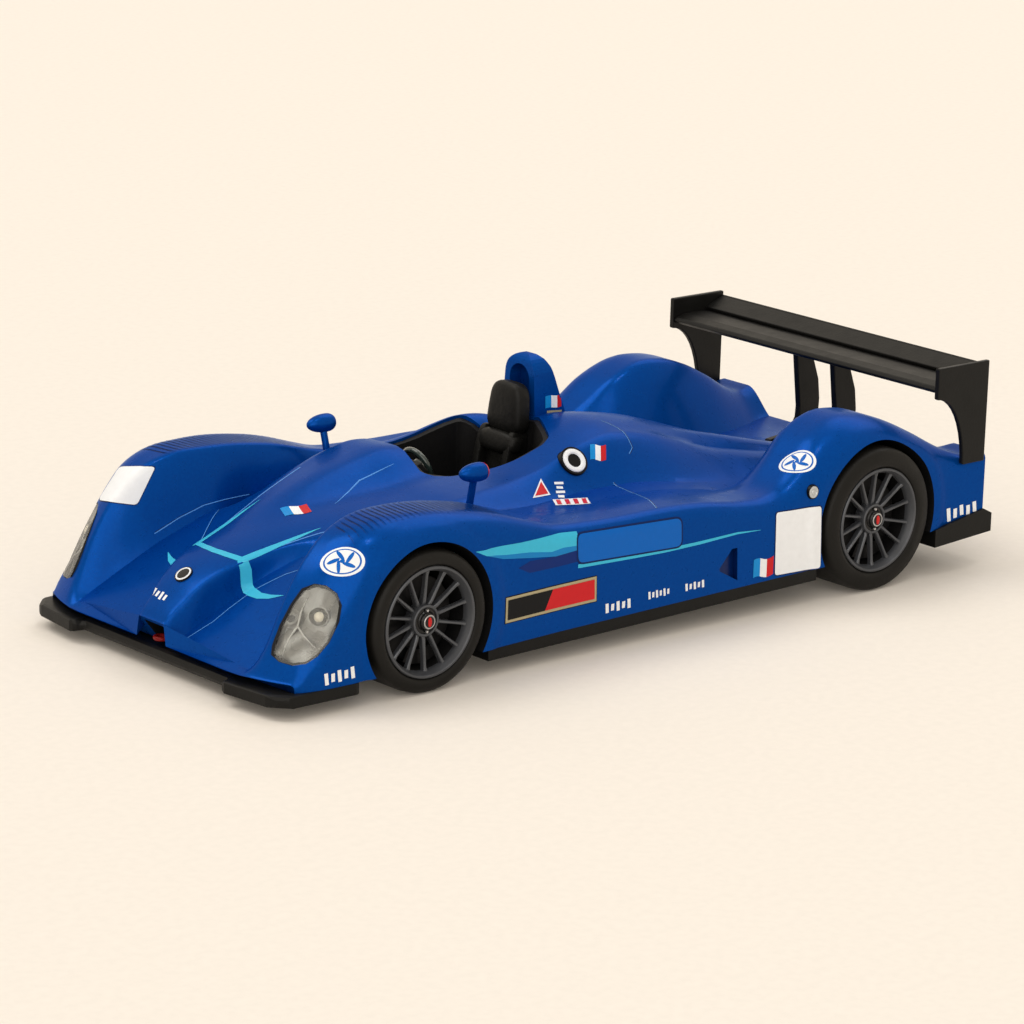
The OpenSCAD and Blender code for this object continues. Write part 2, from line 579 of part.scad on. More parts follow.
module strut() {
    x = wing_front_x;
    z = wing_top_z;
    foot = 9.6;
    rise = (z - 3.1 - foot) / 12.3; // the strut was drawn 12.3 high
    edge = [[x - 6.2, foot], [x + 1.9, foot], [x + 1.9, foot + 1.95], [x - 0.6, foot + 2.2],
        [x - 2.2, foot + 2.9 * rise], [x - 2.9, foot + 4 * rise], [x - 3, foot + 5.4 * rise],
        [x - 2.6, foot + 8.4 * rise], [x - 2.1, z - 3.1 + 0.15 / 2.8], [x - 4.4, z - 2.8],
        [x - 5.2, foot + 10.6 * rise], [x - 6, foot + 8.4 * rise], [x - 6.3, foot + 6 * rise],
        [x - 6.2, foot + 4 * rise]];
    color(black) translate([0, strut_y, 0]) side_slab(strut_t) polygon(edge);
}

module strut_left() {
    strut();
}

module strut_right() {
    mirror([0, 1, 0]) strut();
}

module nose_lens() {
    color([0.8, 0.85, 0.9]) nose_lens_plug(0);
}

module nose_lens_plug(grow) {
    translate([along(47.2), 0, 9.2]) rotate([0, 34, 0])
        cylinder(r = 1.05 + grow, h = 1.3, $fn = 48);
}

fastener_x = along(-23.5);
// The fuel filler lies square to the tub's left flank.
module fuel_cap(r, h) {
    translate([along(-0.5), 6.1, 15.9]) rotate([-51, 6, 0]) cylinder(r = r, h = h, $fn = 48);
}

module filler_caps() {
    color([0.8, 0.8, 0.8]) {
        fuel_cap(1.7, 2.15);
        both_sides() across(fastener_x, 13.3, 0.8, half_width - 2.2, half_width - 0.5);
    }
}

module tow_eye() {
    color([0.7, 0.05, 0.05]) translate([lip_x - 2.4, 0, 3.9]) {
        translate([-0.6, -0.4, -0.5]) cube([1.4, 0.8, 0.6]);
        translate([1, 0, -0.2]) rotate_extrude($fn = 32) translate([0.7, 0]) circle(0.25, $fn = 12);
    }
}

tail_light_z = bottom_edge(body_tail_x) + 1.5;
module tail_lights() {
    color([0.7, 0.05, 0.05]) both_sides() translate([body_tail_x - 0.35, half_width - 5, tail_light_z])
        cube([1, 2.4, 2.6]);
}

module axle(x, z, w) {
    color([0.6, 0.6, 0.62]) across(x, z, axle_r, -w, w);
}

module axle_front() {
    axle(front_axle_x, front_tyre_r, half_width - 1.2);
}

module axle_rear() {
    axle(rear_axle_x, rear_tyre_r, half_width - 1.4);
}

// Everything on a wheel is drawn with its outer face at y = 0 and its inside at y = -w.
module turned() {
    rotate([-90, 0, 0]) rotate_extrude($fn = fine) children();
}

module tyre(r, w) {
    color(black) turned() polygon([[rim_r, -0.3], [rim_r + 0.5, 0], [r - 0.7, -0.1], [r - 0.15, -0.6],
        [r, -1.3], [r, 1.3 - w], [r - 0.15, 0.6 - w], [r - 0.7, 0.1 - w], [rim_r + 0.5, -w],
        [rim_r, 0.3 - w]]);
}

module rim(w) {
    inner = rim_r - rim_ring_w;
    color([0.25, 0.25, 0.27]) {
        turned() polygon([[rim_r, -0.15], [rim_r, 0.3 - w], [rim_r - 0.5, 0.3 - w], [rim_r - 0.5, -2.4],
            [inner, -1.4], [inner, -0.3], [inner + 0.15, -0.15]]);
        for (i = [0:spoke_count - 1]) rotate([0, i * 360 / spoke_count, 0])
            translate([1.4, -1.9, -spoke_w / 2]) cube([inner - 1.3, 1.1, spoke_w]);
        turned() polygon([[axle_r, -0.9], [1.7, -0.9], [1.7, -2.4], [axle_r, -2.4]]);
    }
}

module nut() {
    color([0.12, 0.12, 0.12]) turned() polygon([[0, -0.5], [0.8, -0.5], [1.1, -0.9], [0, -0.9]]);
}

module brake(w) {
    color([0.3, 0.3, 0.3]) turned() polygon([[axle_r, -2.5], [4.6, -2.5], [4.6, -3.1], [1.6, -3.1],
        [1.6, -4], [axle_r, -4]]);
}

// Puts a wheel piece on one side of an axle.
module on_axle(x, z, y, side) {
    translate([x, 0, z]) mirror([0, side < 0 ? 1 : 0, 0]) translate([0, y, 0]) children();
}

module tyre_front_left() {
    on_axle(front_axle_x, front_tyre_r, half_width, 1) tyre(front_tyre_r, front_tyre_w);
}

module tyre_front_right() {
    on_axle(front_axle_x, front_tyre_r, half_width, -1) tyre(front_tyre_r, front_tyre_w);
}

module tyre_rear_left() {
    on_axle(rear_axle_x, rear_tyre_r, half_width - 0.2, 1) tyre(rear_tyre_r, rear_tyre_w);
}

module tyre_rear_right() {
    on_axle(rear_axle_x, rear_tyre_r, half_width - 0.2, -1) tyre(rear_tyre_r, rear_tyre_w);
}

module rim_front_left() {
    on_axle(front_axle_x, front_tyre_r, half_width, 1) rim(front_tyre_w);
}

module rim_front_right() {
    on_axle(front_axle_x, front_tyre_r, half_width, -1) rim(front_tyre_w);
}

module rim_rear_left() {
    on_axle(rear_axle_x, rear_tyre_r, half_width - 0.2, 1) rim(rear_tyre_w);
}

module rim_rear_right() {
    on_axle(rear_axle_x, rear_tyre_r, half_width - 0.2, -1) rim(rear_tyre_w);
}

module nuts_front() {
    for (s = [-1, 1]) on_axle(front_axle_x, front_tyre_r, half_width, s) nut();
}

module nuts_rear() {
    for (s = [-1, 1]) on_axle(rear_axle_x, rear_tyre_r, half_width - 0.2, s) nut();
}

module brakes_front() {
    for (s = [-1, 1]) on_axle(front_axle_x, front_tyre_r, half_width, s) brake(front_tyre_w);
}

module brakes_rear() {
    for (s = [-1, 1]) on_axle(rear_axle_x, rear_tyre_r, half_width - 0.2, s) brake(rear_tyre_w);
}

body_shell();
floor_pan();
splitter();
diffuser();
cockpit_tub();
seat();
dash();
steering_wheel();
roll_hoop();
headlight_bucket_left();
headlight_bucket_right();
headlight_lens_left();
headlight_lens_right();
mirror_left();
mirror_right();
wing();
end_plate_left();
end_plate_right();
strut_left();
strut_right();
nose_lens();
filler_caps();
tow_eye();
tail_lights();
axle_front();
axle_rear();
rim_front_left();
rim_front_right();
rim_rear_left();
rim_rear_right();
tyre_front_left();
tyre_front_right();
tyre_rear_left();
tyre_rear_right();
nuts_front();
nuts_rear();
brakes_front();
brakes_rear();
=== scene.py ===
"""Finish of a small display model: an open-cockpit sports prototype race car.

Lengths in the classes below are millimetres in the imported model's frame: +X forward, +Y the car's left, +Z up.
Meshes are made in millimetres and scaled to metres when they become Blender objects.
"""

import logging
import math
import random
from dataclasses import dataclass, field
from enum import Enum
from typing import Iterable, Sequence

import bmesh
import bpy
import numpy as np
from mathutils import Matrix, Vector
from mathutils.bvhtree import BVHTree


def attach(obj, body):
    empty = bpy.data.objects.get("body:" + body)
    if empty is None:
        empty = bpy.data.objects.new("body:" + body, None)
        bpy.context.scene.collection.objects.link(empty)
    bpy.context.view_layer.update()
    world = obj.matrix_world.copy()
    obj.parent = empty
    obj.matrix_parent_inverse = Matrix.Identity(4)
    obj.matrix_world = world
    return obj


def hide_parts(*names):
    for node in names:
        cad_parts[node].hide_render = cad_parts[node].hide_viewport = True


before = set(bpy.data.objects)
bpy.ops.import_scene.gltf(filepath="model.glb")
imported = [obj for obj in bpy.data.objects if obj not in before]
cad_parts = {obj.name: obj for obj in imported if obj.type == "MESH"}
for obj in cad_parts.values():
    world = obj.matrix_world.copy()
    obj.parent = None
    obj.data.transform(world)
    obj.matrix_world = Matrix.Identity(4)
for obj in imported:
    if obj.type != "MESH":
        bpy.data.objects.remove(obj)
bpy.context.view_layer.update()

log = logging.getLogger("race_car")
MM = 0.001
CHASSIS = "chassis"
Point = tuple[float, float, float]
Flat = tuple[float, float]


class Side(Enum):
    """The car's left is +Y."""

    LEFT = 1
    RIGHT = -1


@dataclass(frozen=True)
class Sheet:
    """A plane on which markings are drawn, and from which they are laid on the body.

    Attributes:
        origin: The plane's own zero.
        u: Direction of an outline's first number.
        v: Direction of its second number.
        normal: Direction towards the viewer.
        reach: How far off the plane the laying starts.
    """

    origin: Point
    u: Point
    v: Point
    normal: Point
    reach: float = 60.0

    @classmethod
    def turned(cls, origin: Point, yaw: float, pitch: float, side: int = 1, roll: float = 0.0) -> "Sheet":
        """Returns a plane that touches the body.

        Args:
            origin: A point of the skin on the car's left.
            yaw: Degrees from +X to the plane's normal, about Z.
            pitch: Degrees that the normal rises.
            side: 1 for the car's left, -1 for the same plane mirrored on its right.
            roll: Degrees by which the drawing is turned in the plane.
        """
        a, b, c = math.radians(yaw), math.radians(pitch), math.radians(roll)
        normal = Vector((math.cos(b) * math.cos(a), math.cos(b) * math.sin(a), math.sin(b)))
        right = Vector((-math.sin(a), math.cos(a), 0))
        up = normal.cross(right)
        first, second = right * math.cos(c) + up * math.sin(c), up * math.cos(c) - right * math.sin(c)
        flip = Vector((1, side, 1))
        return cls(tuple(Vector(origin) * flip), tuple(first * flip), tuple(second * flip), tuple(normal * flip), 7.0)


TOP = Sheet((0, 0, 0), (1, 0, 0), (0, 1, 0), (0, 0, 1))
LEFT = Sheet((0, 0, 0), (1, 0, 0), (0, 0, 1), (0, 1, 0))
RIGHT = Sheet((0, 0, 0), (1, 0, 0), (0, 0, 1), (0, -1, 0))


# Node and mesh helpers


class Graph:
    """Builds one material's node tree in a few words."""

    def __init__(self, name: str) -> None:
        """Starts a material with a Principled shader.

        Args:
            name: The material's name.
        """
        self.material = bpy.data.materials.new(name)
        self.material.use_nodes = True
        self.tree = self.material.node_tree
        self.shader = self.tree.nodes["Principled BSDF"]
        self.output = self.tree.nodes["Material Output"]

    def add(self, kind: str, **inputs: object) -> bpy.types.Node:
        """Adds a node and sets its input sockets.

        Args:
            kind: The node's type name.
            inputs: Values or output sockets by input name, with underscores for spaces.

        Returns:
            The new node.
        """
        node = self.tree.nodes.new(kind)
        for name, value in inputs.items():
            self.feed(node.inputs[name.replace("_", " ")], value)
        return node

    def feed(self, socket: bpy.types.NodeSocket, value: object) -> None:
        """Links an output socket to an input, or sets the input's value.

        Args:
            socket: The input socket.
            value: An output socket, a number or a colour.
        """
        if isinstance(value, bpy.types.NodeSocket):
            self.tree.links.new(value, socket)
        else:
            socket.default_value = value

    def set(self, **inputs: object) -> None:
        """Sets inputs of the Principled shader by name, with underscores for spaces."""
        for name, value in inputs.items():
            self.feed(self.shader.inputs[name.replace("_", " ")], value)

    def place(self) -> bpy.types.NodeSocket:
        """Returns the point on the object, in metres."""
        return self.add("ShaderNodeTexCoord").outputs["Object"]

    def noise(self, scale: float, detail: float = 4.0, rough: float = 0.55) -> bpy.types.NodeSocket:
        """Returns a noise value about 0.5.

        Args:
            scale: Cells to the metre.
            detail: Octaves.
            rough: Weight of the finer octaves.

        Returns:
            The factor socket.
        """
        node = self.add("ShaderNodeTexNoise", Vector=self.place(), Scale=scale, Detail=detail, Roughness=rough)
        return node.outputs["Fac"]

    def span(self, value: bpy.types.NodeSocket, low: float, high: float) -> bpy.types.NodeSocket:
        """Returns a 0.3 to 0.7 value carried to low and high."""
        node = self.add("ShaderNodeMapRange", Value=value)
        node.inputs["From Min"].default_value = 0.3
        node.inputs["From Max"].default_value = 0.7
        node.inputs["To Min"].default_value = low
        node.inputs["To Max"].default_value = high
        return node.outputs["Result"]

    def blend(self, factor: object, first: Sequence[float], second: object) -> bpy.types.NodeSocket:
        """Returns a colour between two colours."""
        node = self.tree.nodes.new("ShaderNodeMix")
        node.data_type = "RGBA"
        self.feed(node.inputs["Factor"], factor)
        self.feed(node.inputs["A"], first)
        self.feed(node.inputs["B"], second)
        return node.outputs["Result"]

    def bump(self, height: bpy.types.NodeSocket, depth: float, strength: float) -> bpy.types.NodeSocket:
        """Returns a normal roughened by a height.

        Args:
            height: The height value.
            depth: Metres for one unit of height.
            strength: Share of the effect.
        """
        node = self.add("ShaderNodeBump", Height=height, Distance=depth, Strength=strength)
        return node.outputs["Normal"]


def rgb(red: int, green: int, blue: int) -> tuple[float, float, float, float]:
    """Returns the linear colour of an 8-bit display colour."""
    def line(v: int) -> float:
        """Returns one linear channel."""
        s = v / 255
        return s / 12.92 if s <= 0.04045 else ((s + 0.055) / 1.055) ** 2.4
    return (line(red), line(green), line(blue), 1.0)


@dataclass(frozen=True)
class MetallicPaint:
    """Satin metallic lacquer with a fine flake.

    Attributes:
        name: The material's name.
        base: The lacquer's colour.
        flake: The colour of the brighter flakes.
        roughness: Of the flake layer.
        metallic: Share of the light that the flakes throw back.
    """

    name: str = "blue_lacquer"
    base: tuple = (0.0003, 0.050, 0.275, 1.0)
    flake: tuple = (0.0006, 0.068, 0.34, 1.0)
    roughness: float = 0.3
    metallic: float = 0.42

    def build(self) -> bpy.types.Material:
        """Returns the lacquer as a material."""
        g = Graph(self.name)
        grain = g.noise(3000.0, 2.0, 0.6)
        cloud = g.noise(60.0, 3.0)
        deep = tuple(c * 0.8 for c in self.base[:3]) + (1.0,)
        tint = g.blend(g.span(grain, 0.0, 0.55), self.base, self.flake)
        g.set(
            Base_Color=g.blend(g.span(cloud, 0.0, 0.2), tint, deep),
            Metallic=self.metallic,
            Roughness=g.span(g.noise(900.0, 3.0), self.roughness - 0.04, self.roughness + 0.05),
            Specular_IOR_Level=0.04,
            Specular_Tint=(0.2, 0.5, 1.0, 1.0),
            Coat_Weight=0.05,
            Coat_Roughness=0.12,
        )
        return g.material


@dataclass(frozen=True)
class MouldedPlastic:
    """Moulded plastic or rubber with a fine grain and rubbed patches.

    Attributes:
        name: The material's name.
        colour: The plastic's colour.
        roughness: Mean roughness.
        grain: Depth of the grain in metres.
        grain_scale: Grains to the metre.
        metallic: Share of metal in the finish.
        coat: Weight of a clear coat.
    """

    name: str
    colour: tuple
    roughness: float = 0.5
    grain: float = 0.00002
    grain_scale: float = 4200.0
    metallic: float = 0.0
    coat: float = 0.0

    def build(self) -> bpy.types.Material:
        """Returns the plastic as a material."""
        g = Graph(self.name)
        worn = tuple(min(1.0, c * 1.35 + 0.004) for c in self.colour[:3]) + (1.0,)
        patch = g.noise(180.0, 5.0, 0.6)
        g.set(
            Base_Color=g.blend(g.span(patch, 0.0, 0.5), self.colour, worn),
            Metallic=self.metallic,
            Roughness=g.span(g.noise(420.0, 4.0), self.roughness - 0.06, self.roughness + 0.07),
            Specular_IOR_Level=0.16,
            Coat_Weight=self.coat,
            Coat_Roughness=0.12,
            Normal=g.bump(g.noise(self.grain_scale, 3.0), self.grain, 0.5),
        )
        return g.material


@dataclass(frozen=True)
class PrintInk:
    """Thin printed marking over the lacquer.

    Attributes:
        name: The material's name.
        colour: The ink's colour.
        roughness: Mean roughness.
    """

    name: str
    colour: tuple
    roughness: float = 0.34

    def build(self) -> bpy.types.Material:
        """Returns the ink as a material."""
        g = Graph(self.name)
        thin = tuple(c * 0.94 for c in self.colour[:3]) + (1.0,)
        g.set(
            Base_Color=g.blend(g.span(g.noise(1500.0, 3.0), 0.0, 0.8), self.colour, thin),
            Roughness=g.span(g.noise(600.0, 3.0), self.roughness - 0.05, self.roughness + 0.06),
            Specular_IOR_Level=0.1,
            Coat_Weight=0.06,
            Coat_Roughness=0.12,
        )
        return g.material


@dataclass(frozen=True)
class ClearMoulding:
    """Clear, slightly smoked plastic of the lamp covers.

    Attributes:
        name: The material's name.
        tint: The colour light takes in the plastic.
        roughness: Of its surface.
    """

    name: str = "lamp_cover"
    tint: tuple = (0.84, 0.84, 0.82, 1.0)
    roughness: float = 0.06

    def build(self) -> bpy.types.Material:
        """Returns the clear plastic as a material."""
        g = Graph(self.name)
        g.set(
            Base_Color=g.blend(g.span(g.noise(300.0, 4.0), 0.0, 0.4), self.tint, (0.74, 0.75, 0.73, 1.0)),
            Roughness=g.span(g.noise(500.0, 3.0), self.roughness, self.roughness + 0.05),
            Transmission_Weight=0.92,
            IOR=1.32,
        )
        return g.material


FINISHES = {
    "blue": MetallicPaint(),
    "tyre": MouldedPlastic("tyre_rubber", rgb(17, 16, 14), 0.5, 0.00004, 2600.0),
    "wing": MouldedPlastic("wing_black", rgb(12, 12, 11), 0.4, 0.00003, 3600.0),
    "splitter": MouldedPlastic("splitter_charcoal", rgb(11, 11, 10), 0.42, 0.00003, 3200.0),
    "well": MouldedPlastic("well_black", rgb(9, 9, 10), 0.7),
    "tub": MouldedPlastic("tub_black", rgb(16, 16, 17), 0.55, 0.00006, 1800.0),
    "seat": MouldedPlastic("seat_black", rgb(13, 13, 12), 0.46, 0.00022, 620.0),
    "rim": MouldedPlastic("rim_graphite", rgb(78, 80, 84), 0.34, 0.00002, 3800.0, 0.5),
    "spoke": MouldedPlastic("spoke_graphite", rgb(82, 84, 88), 0.32, 0.00002, 3800.0, 0.5),
    "hub": MouldedPlastic("hub_black", rgb(14, 14, 15), 0.25, 0.00001, 3000.0, 0.2, 0.3),
    "steel": MouldedPlastic("steel_pin", rgb(170, 170, 172), 0.26, 0.00001, 2500.0, 1.0),
    "disc": MouldedPlastic("brake_disc", rgb(20, 20, 21), 0.42, 0.00002, 1200.0, 0.4),
    "chrome": MouldedPlastic("lamp_tray", rgb(138, 139, 136), 0.26, 0.00001, 900.0, 0.65),
    # Pale ribs in the lamps, standing in for the streaks of light the reflector throws back: painted reflection.
    "rib": MouldedPlastic("lamp_rib", rgb(196, 198, 194), 0.3, 0.00001, 900.0, 0.2),
    "cap_grey": MouldedPlastic("cap_grey", rgb(186, 188, 188), 0.3, 0.00001, 1500.0, 0.4),
    "grip": MouldedPlastic("wheel_grip", rgb(40, 52, 50), 0.16, 0.00001, 1500.0, 0.1, 0.8),
    "bucket": MouldedPlastic("lamp_bucket", rgb(60, 62, 62), 0.45, 0.00003, 900.0, 0.4),
    "bulb": MouldedPlastic("lamp_bulb", rgb(246, 238, 214), 0.2, 0.00001, 900.0, 0.0, 0.5),
    "clear": ClearMoulding(),
    "white": PrintInk("ink_white", rgb(244, 246, 248)),
    "navy": PrintInk("ink_navy", rgb(2, 40, 112)),
    # Dark navy ink for panel gaps and outlines, also laid as painted shade in the louvre slits and inside the side
    # scoops.
    "line": PrintInk("gap_ink_and_painted_shade", rgb(2, 30, 84)),
    # Pale blue ink laid as thin lines along creases, the cowl's fold and panel edges: painted highlights.
    "edge": PrintInk("painted_edge_highlight", rgb(84, 150, 226)),
    "azure": PrintInk("ink_azure", rgb(0, 98, 190)),
    "turquoise": PrintInk("ink_turquoise", rgb(62, 186, 220)),
    "teal": PrintInk("ink_teal", rgb(20, 128, 196)),
    "cyan": PrintInk("ink_cyan", rgb(20, 140, 214)),
    "red": PrintInk("ink_red", rgb(206, 34, 40)),
    "black": PrintInk("ink_black", rgb(14, 14, 16)),
    "sand": PrintInk("ink_sand", rgb(176, 164, 130)),
    "tow": MouldedPlastic("tow_eye_red", rgb(112, 10, 10), 0.4, 0.00001, 2000.0),
    "red_plastic": MouldedPlastic("red_plastic", rgb(190, 18, 18), 0.35, 0.00001, 2000.0, 0.0, 0.3),
}
_made: dict[str, bpy.types.Material] = {}


def finish(key: str) -> bpy.types.Material:
    """Returns the material for a finish, built once."""
    if key not in _made:
        _made[key] = FINISHES[key].build()
    return _made[key]


def make(name: str, points: Iterable[Point], faces: Iterable[Sequence[int]], key: str,
         crease: float = 38.0) -> bpy.types.Object:
    """Makes a Blender object from points in millimetres.

    Args:
        name: The object's name.
        points: Its points.
        faces: Its faces as point numbers.
        key: Its finish.
        crease: Degrees past which an edge stays sharp.

    Returns:
        The object, linked to the scene.
    """
    mesh = bpy.data.meshes.new(name)
    mesh.from_pydata([tuple(c * MM for c in p) for p in points], [], [tuple(f) for f in faces])
    mesh.update()
    obj = bpy.data.objects.new(name, mesh)
    bpy.context.scene.collection.objects.link(obj)
    mesh.materials.append(finish(key))
    smooth(obj, crease)
    return obj


def smooth(obj: bpy.types.Object, crease: float) -> None:
    """Shades a mesh smooth but for the edges sharper than an angle in degrees."""
    obj.data.polygons.foreach_set("use_smooth", [True] * len(obj.data.polygons))
    obj.data.set_sharp_from_angle(angle=math.radians(crease))


def bake(obj: bpy.types.Object) -> bpy.types.Object:
    """Applies an object's modifiers to its mesh."""
    graph = bpy.context.evaluated_depsgraph_get()
    mesh = bpy.data.meshes.new_from_object(obj.evaluated_get(graph))
    obj.modifiers.clear()
    obj.data = mesh
    return obj


def carve(obj: bpy.types.Object, cutters: Sequence[bpy.types.Object]) -> bpy.types.Object:
    """Cuts solids out of an object and removes them.

    Args:
        obj: The object to cut.
        cutters: The solids, whose finish shows on the cut faces.

    Returns:
        The cut object.
    """
    for cutter in cutters:
        tool = obj.modifiers.new("cut", "BOOLEAN")
        tool.operation = "DIFFERENCE"
        tool.solver = "EXACT"
        tool.material_mode = "TRANSFER"
        tool.object = cutter
    bake(obj)
    for cutter in cutters:
        bpy.data.objects.remove(cutter)
    return obj


def rounded(obj: bpy.types.Object, width: float, steps: int = 2, angle: float = 32.0) -> bpy.types.Object:
    """Rounds an object's sharp edges.

    Args:
        obj: The object, which keeps its own mesh.
        width: Width of the round, in millimetres.
        steps: Segments across it.
        angle: Degrees past which an edge is rounded.
    """
    weld = obj.modifiers.new("weld", "WELD")
    weld.merge_threshold = 1e-6
    bevel = obj.modifiers.new("round", "BEVEL")
    bevel.width = width * MM
    bevel.segments = steps
    bevel.limit_method = "ANGLE"
    bevel.angle_limit = math.radians(angle)
    bevel.use_clamp_overlap = True
    bevel.harden_normals = False
    return obj


def settle(obj: bpy.types.Object, body: str, *nodes: str) -> bpy.types.Object:
    """Lets a piece ride on a body and stand for CAD nodes.

    Args:
        obj: The piece.
        body: The CAD body.
        nodes: The CAD nodes that it replaces.
    """
    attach(obj, body)
    if nodes:
        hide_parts(*nodes)
    log.info("%s rides on %s", obj.name, body)
    return obj


def prism(path: Sequence[Flat], low: float, high: float) -> tuple[list[Point], list[tuple[int, ...]]]:
    """Returns the points and faces of an upright prism over an anticlockwise path."""
    n = len(path)
    points = [(x, y, low) for x, y in path] + [(x, y, high) for x, y in path]
    faces: list[tuple[int, ...]] = [tuple(range(n - 1, -1, -1)), tuple(range(n, 2 * n))]
    faces += [(i, (i + 1) % n, n + (i + 1) % n, n + i) for i in range(n)]
    return points, faces


def revolve(profile: Sequence[Flat], steps: int, closed: bool = True) -> tuple[list[Point], list[tuple[int, ...]]]:
    """Turns a profile about the Y axis.

    Args:
        profile: Pairs of radius and place along Y.
        steps: Steps round.
        closed: True if the profile's ends are joined.

    Returns:
        Points and faces.
    """
    k = len(profile)
    points = [(r * math.cos(2 * math.pi * i / steps), y, r * math.sin(2 * math.pi * i / steps))
              for i in range(steps) for r, y in profile]
    last = k if closed else k - 1
    faces = [(i * k + j, i * k + (j + 1) % k, (i + 1) % steps * k + (j + 1) % k, (i + 1) % steps * k + j)
             for i in range(steps) for j in range(last)]
    return points, faces


def merge(name: str, parts: Sequence[tuple[list[Point], list[tuple[int, ...]]]], key: str,
          crease: float = 38.0) -> bpy.types.Object:
    """Makes one object from several point and face lists."""
    points: list[Point] = []
    faces: list[tuple[int, ...]] = []
    for new_points, new_faces in parts:
        shift = len(points)
        points += new_points
        faces += [tuple(i + shift for i in f) for f in new_faces]
    return make(name, points, faces, key, crease)


def moved(part: tuple[list[Point], list[tuple[int, ...]]], matrix: Matrix) -> tuple[list[Point], list[tuple[int, ...]]]:
    """Returns points and faces carried by a matrix, turned inside out again if it mirrors."""
    points = [tuple(matrix @ Vector(p)) for p in part[0]]
    faces = [tuple(reversed(f)) for f in part[1]] if matrix.determinant() < 0 else list(part[1])
    return points, faces


def block(size: Point, place: Point = (0, 0, 0)) -> tuple[list[Point], list[tuple[int, ...]]]:
    """Returns a box of that size about a place."""
    x, y, z = (s / 2 for s in size)
    path = [(-x, -y), (x, -y), (x, y), (-x, y)]
    return moved(prism(path, -z, z), Matrix.Translation(place))


# The painted body


def ease(t: float) -> float:
    """Returns a smooth step from 0 to 1."""
    u = min(1.0, max(0.0, t))
    return u * u * (3 - 2 * u)


def bell(t: float) -> float:
    """Returns a bell that is 1 at 0 and 0 from 1 on."""
    return 0.0 if abs(t) >= 1 else (1 + math.cos(math.pi * t)) / 2


def curve(rows: Sequence[Sequence[float]], column: int, x: float) -> float:
    """Reads a smooth curve through one column of a table.

    Args:
        rows: Rows that start with their place along the car, from the nose back.
        column: The column to read.
        x: The place along the car.

    Returns:
        The value there.
    """
    i = 0
    while i < len(rows) - 2 and rows[i + 1][0] > x:
        i += 1
    a, b = rows[i], rows[i + 1]
    h = b[0] - a[0]
    u = min(1.0, max(0.0, (x - a[0]) / h))

    def slope(k: int) -> float:
        """Returns the curve's slope at row k."""
        if k in (0, len(rows) - 1):
            return 0.0
        return (rows[k + 1][column] - rows[k - 1][column]) / (rows[k + 1][0] - rows[k - 1][0])

    ma, mb = slope(i) * h, slope(i + 1) * h
    return ((2 * u**3 - 3 * u * u + 1) * a[column] + (u**3 - 2 * u * u + u) * ma
            + (3 * u * u - 2 * u**3) * b[column] + (u**3 - u * u) * mb)


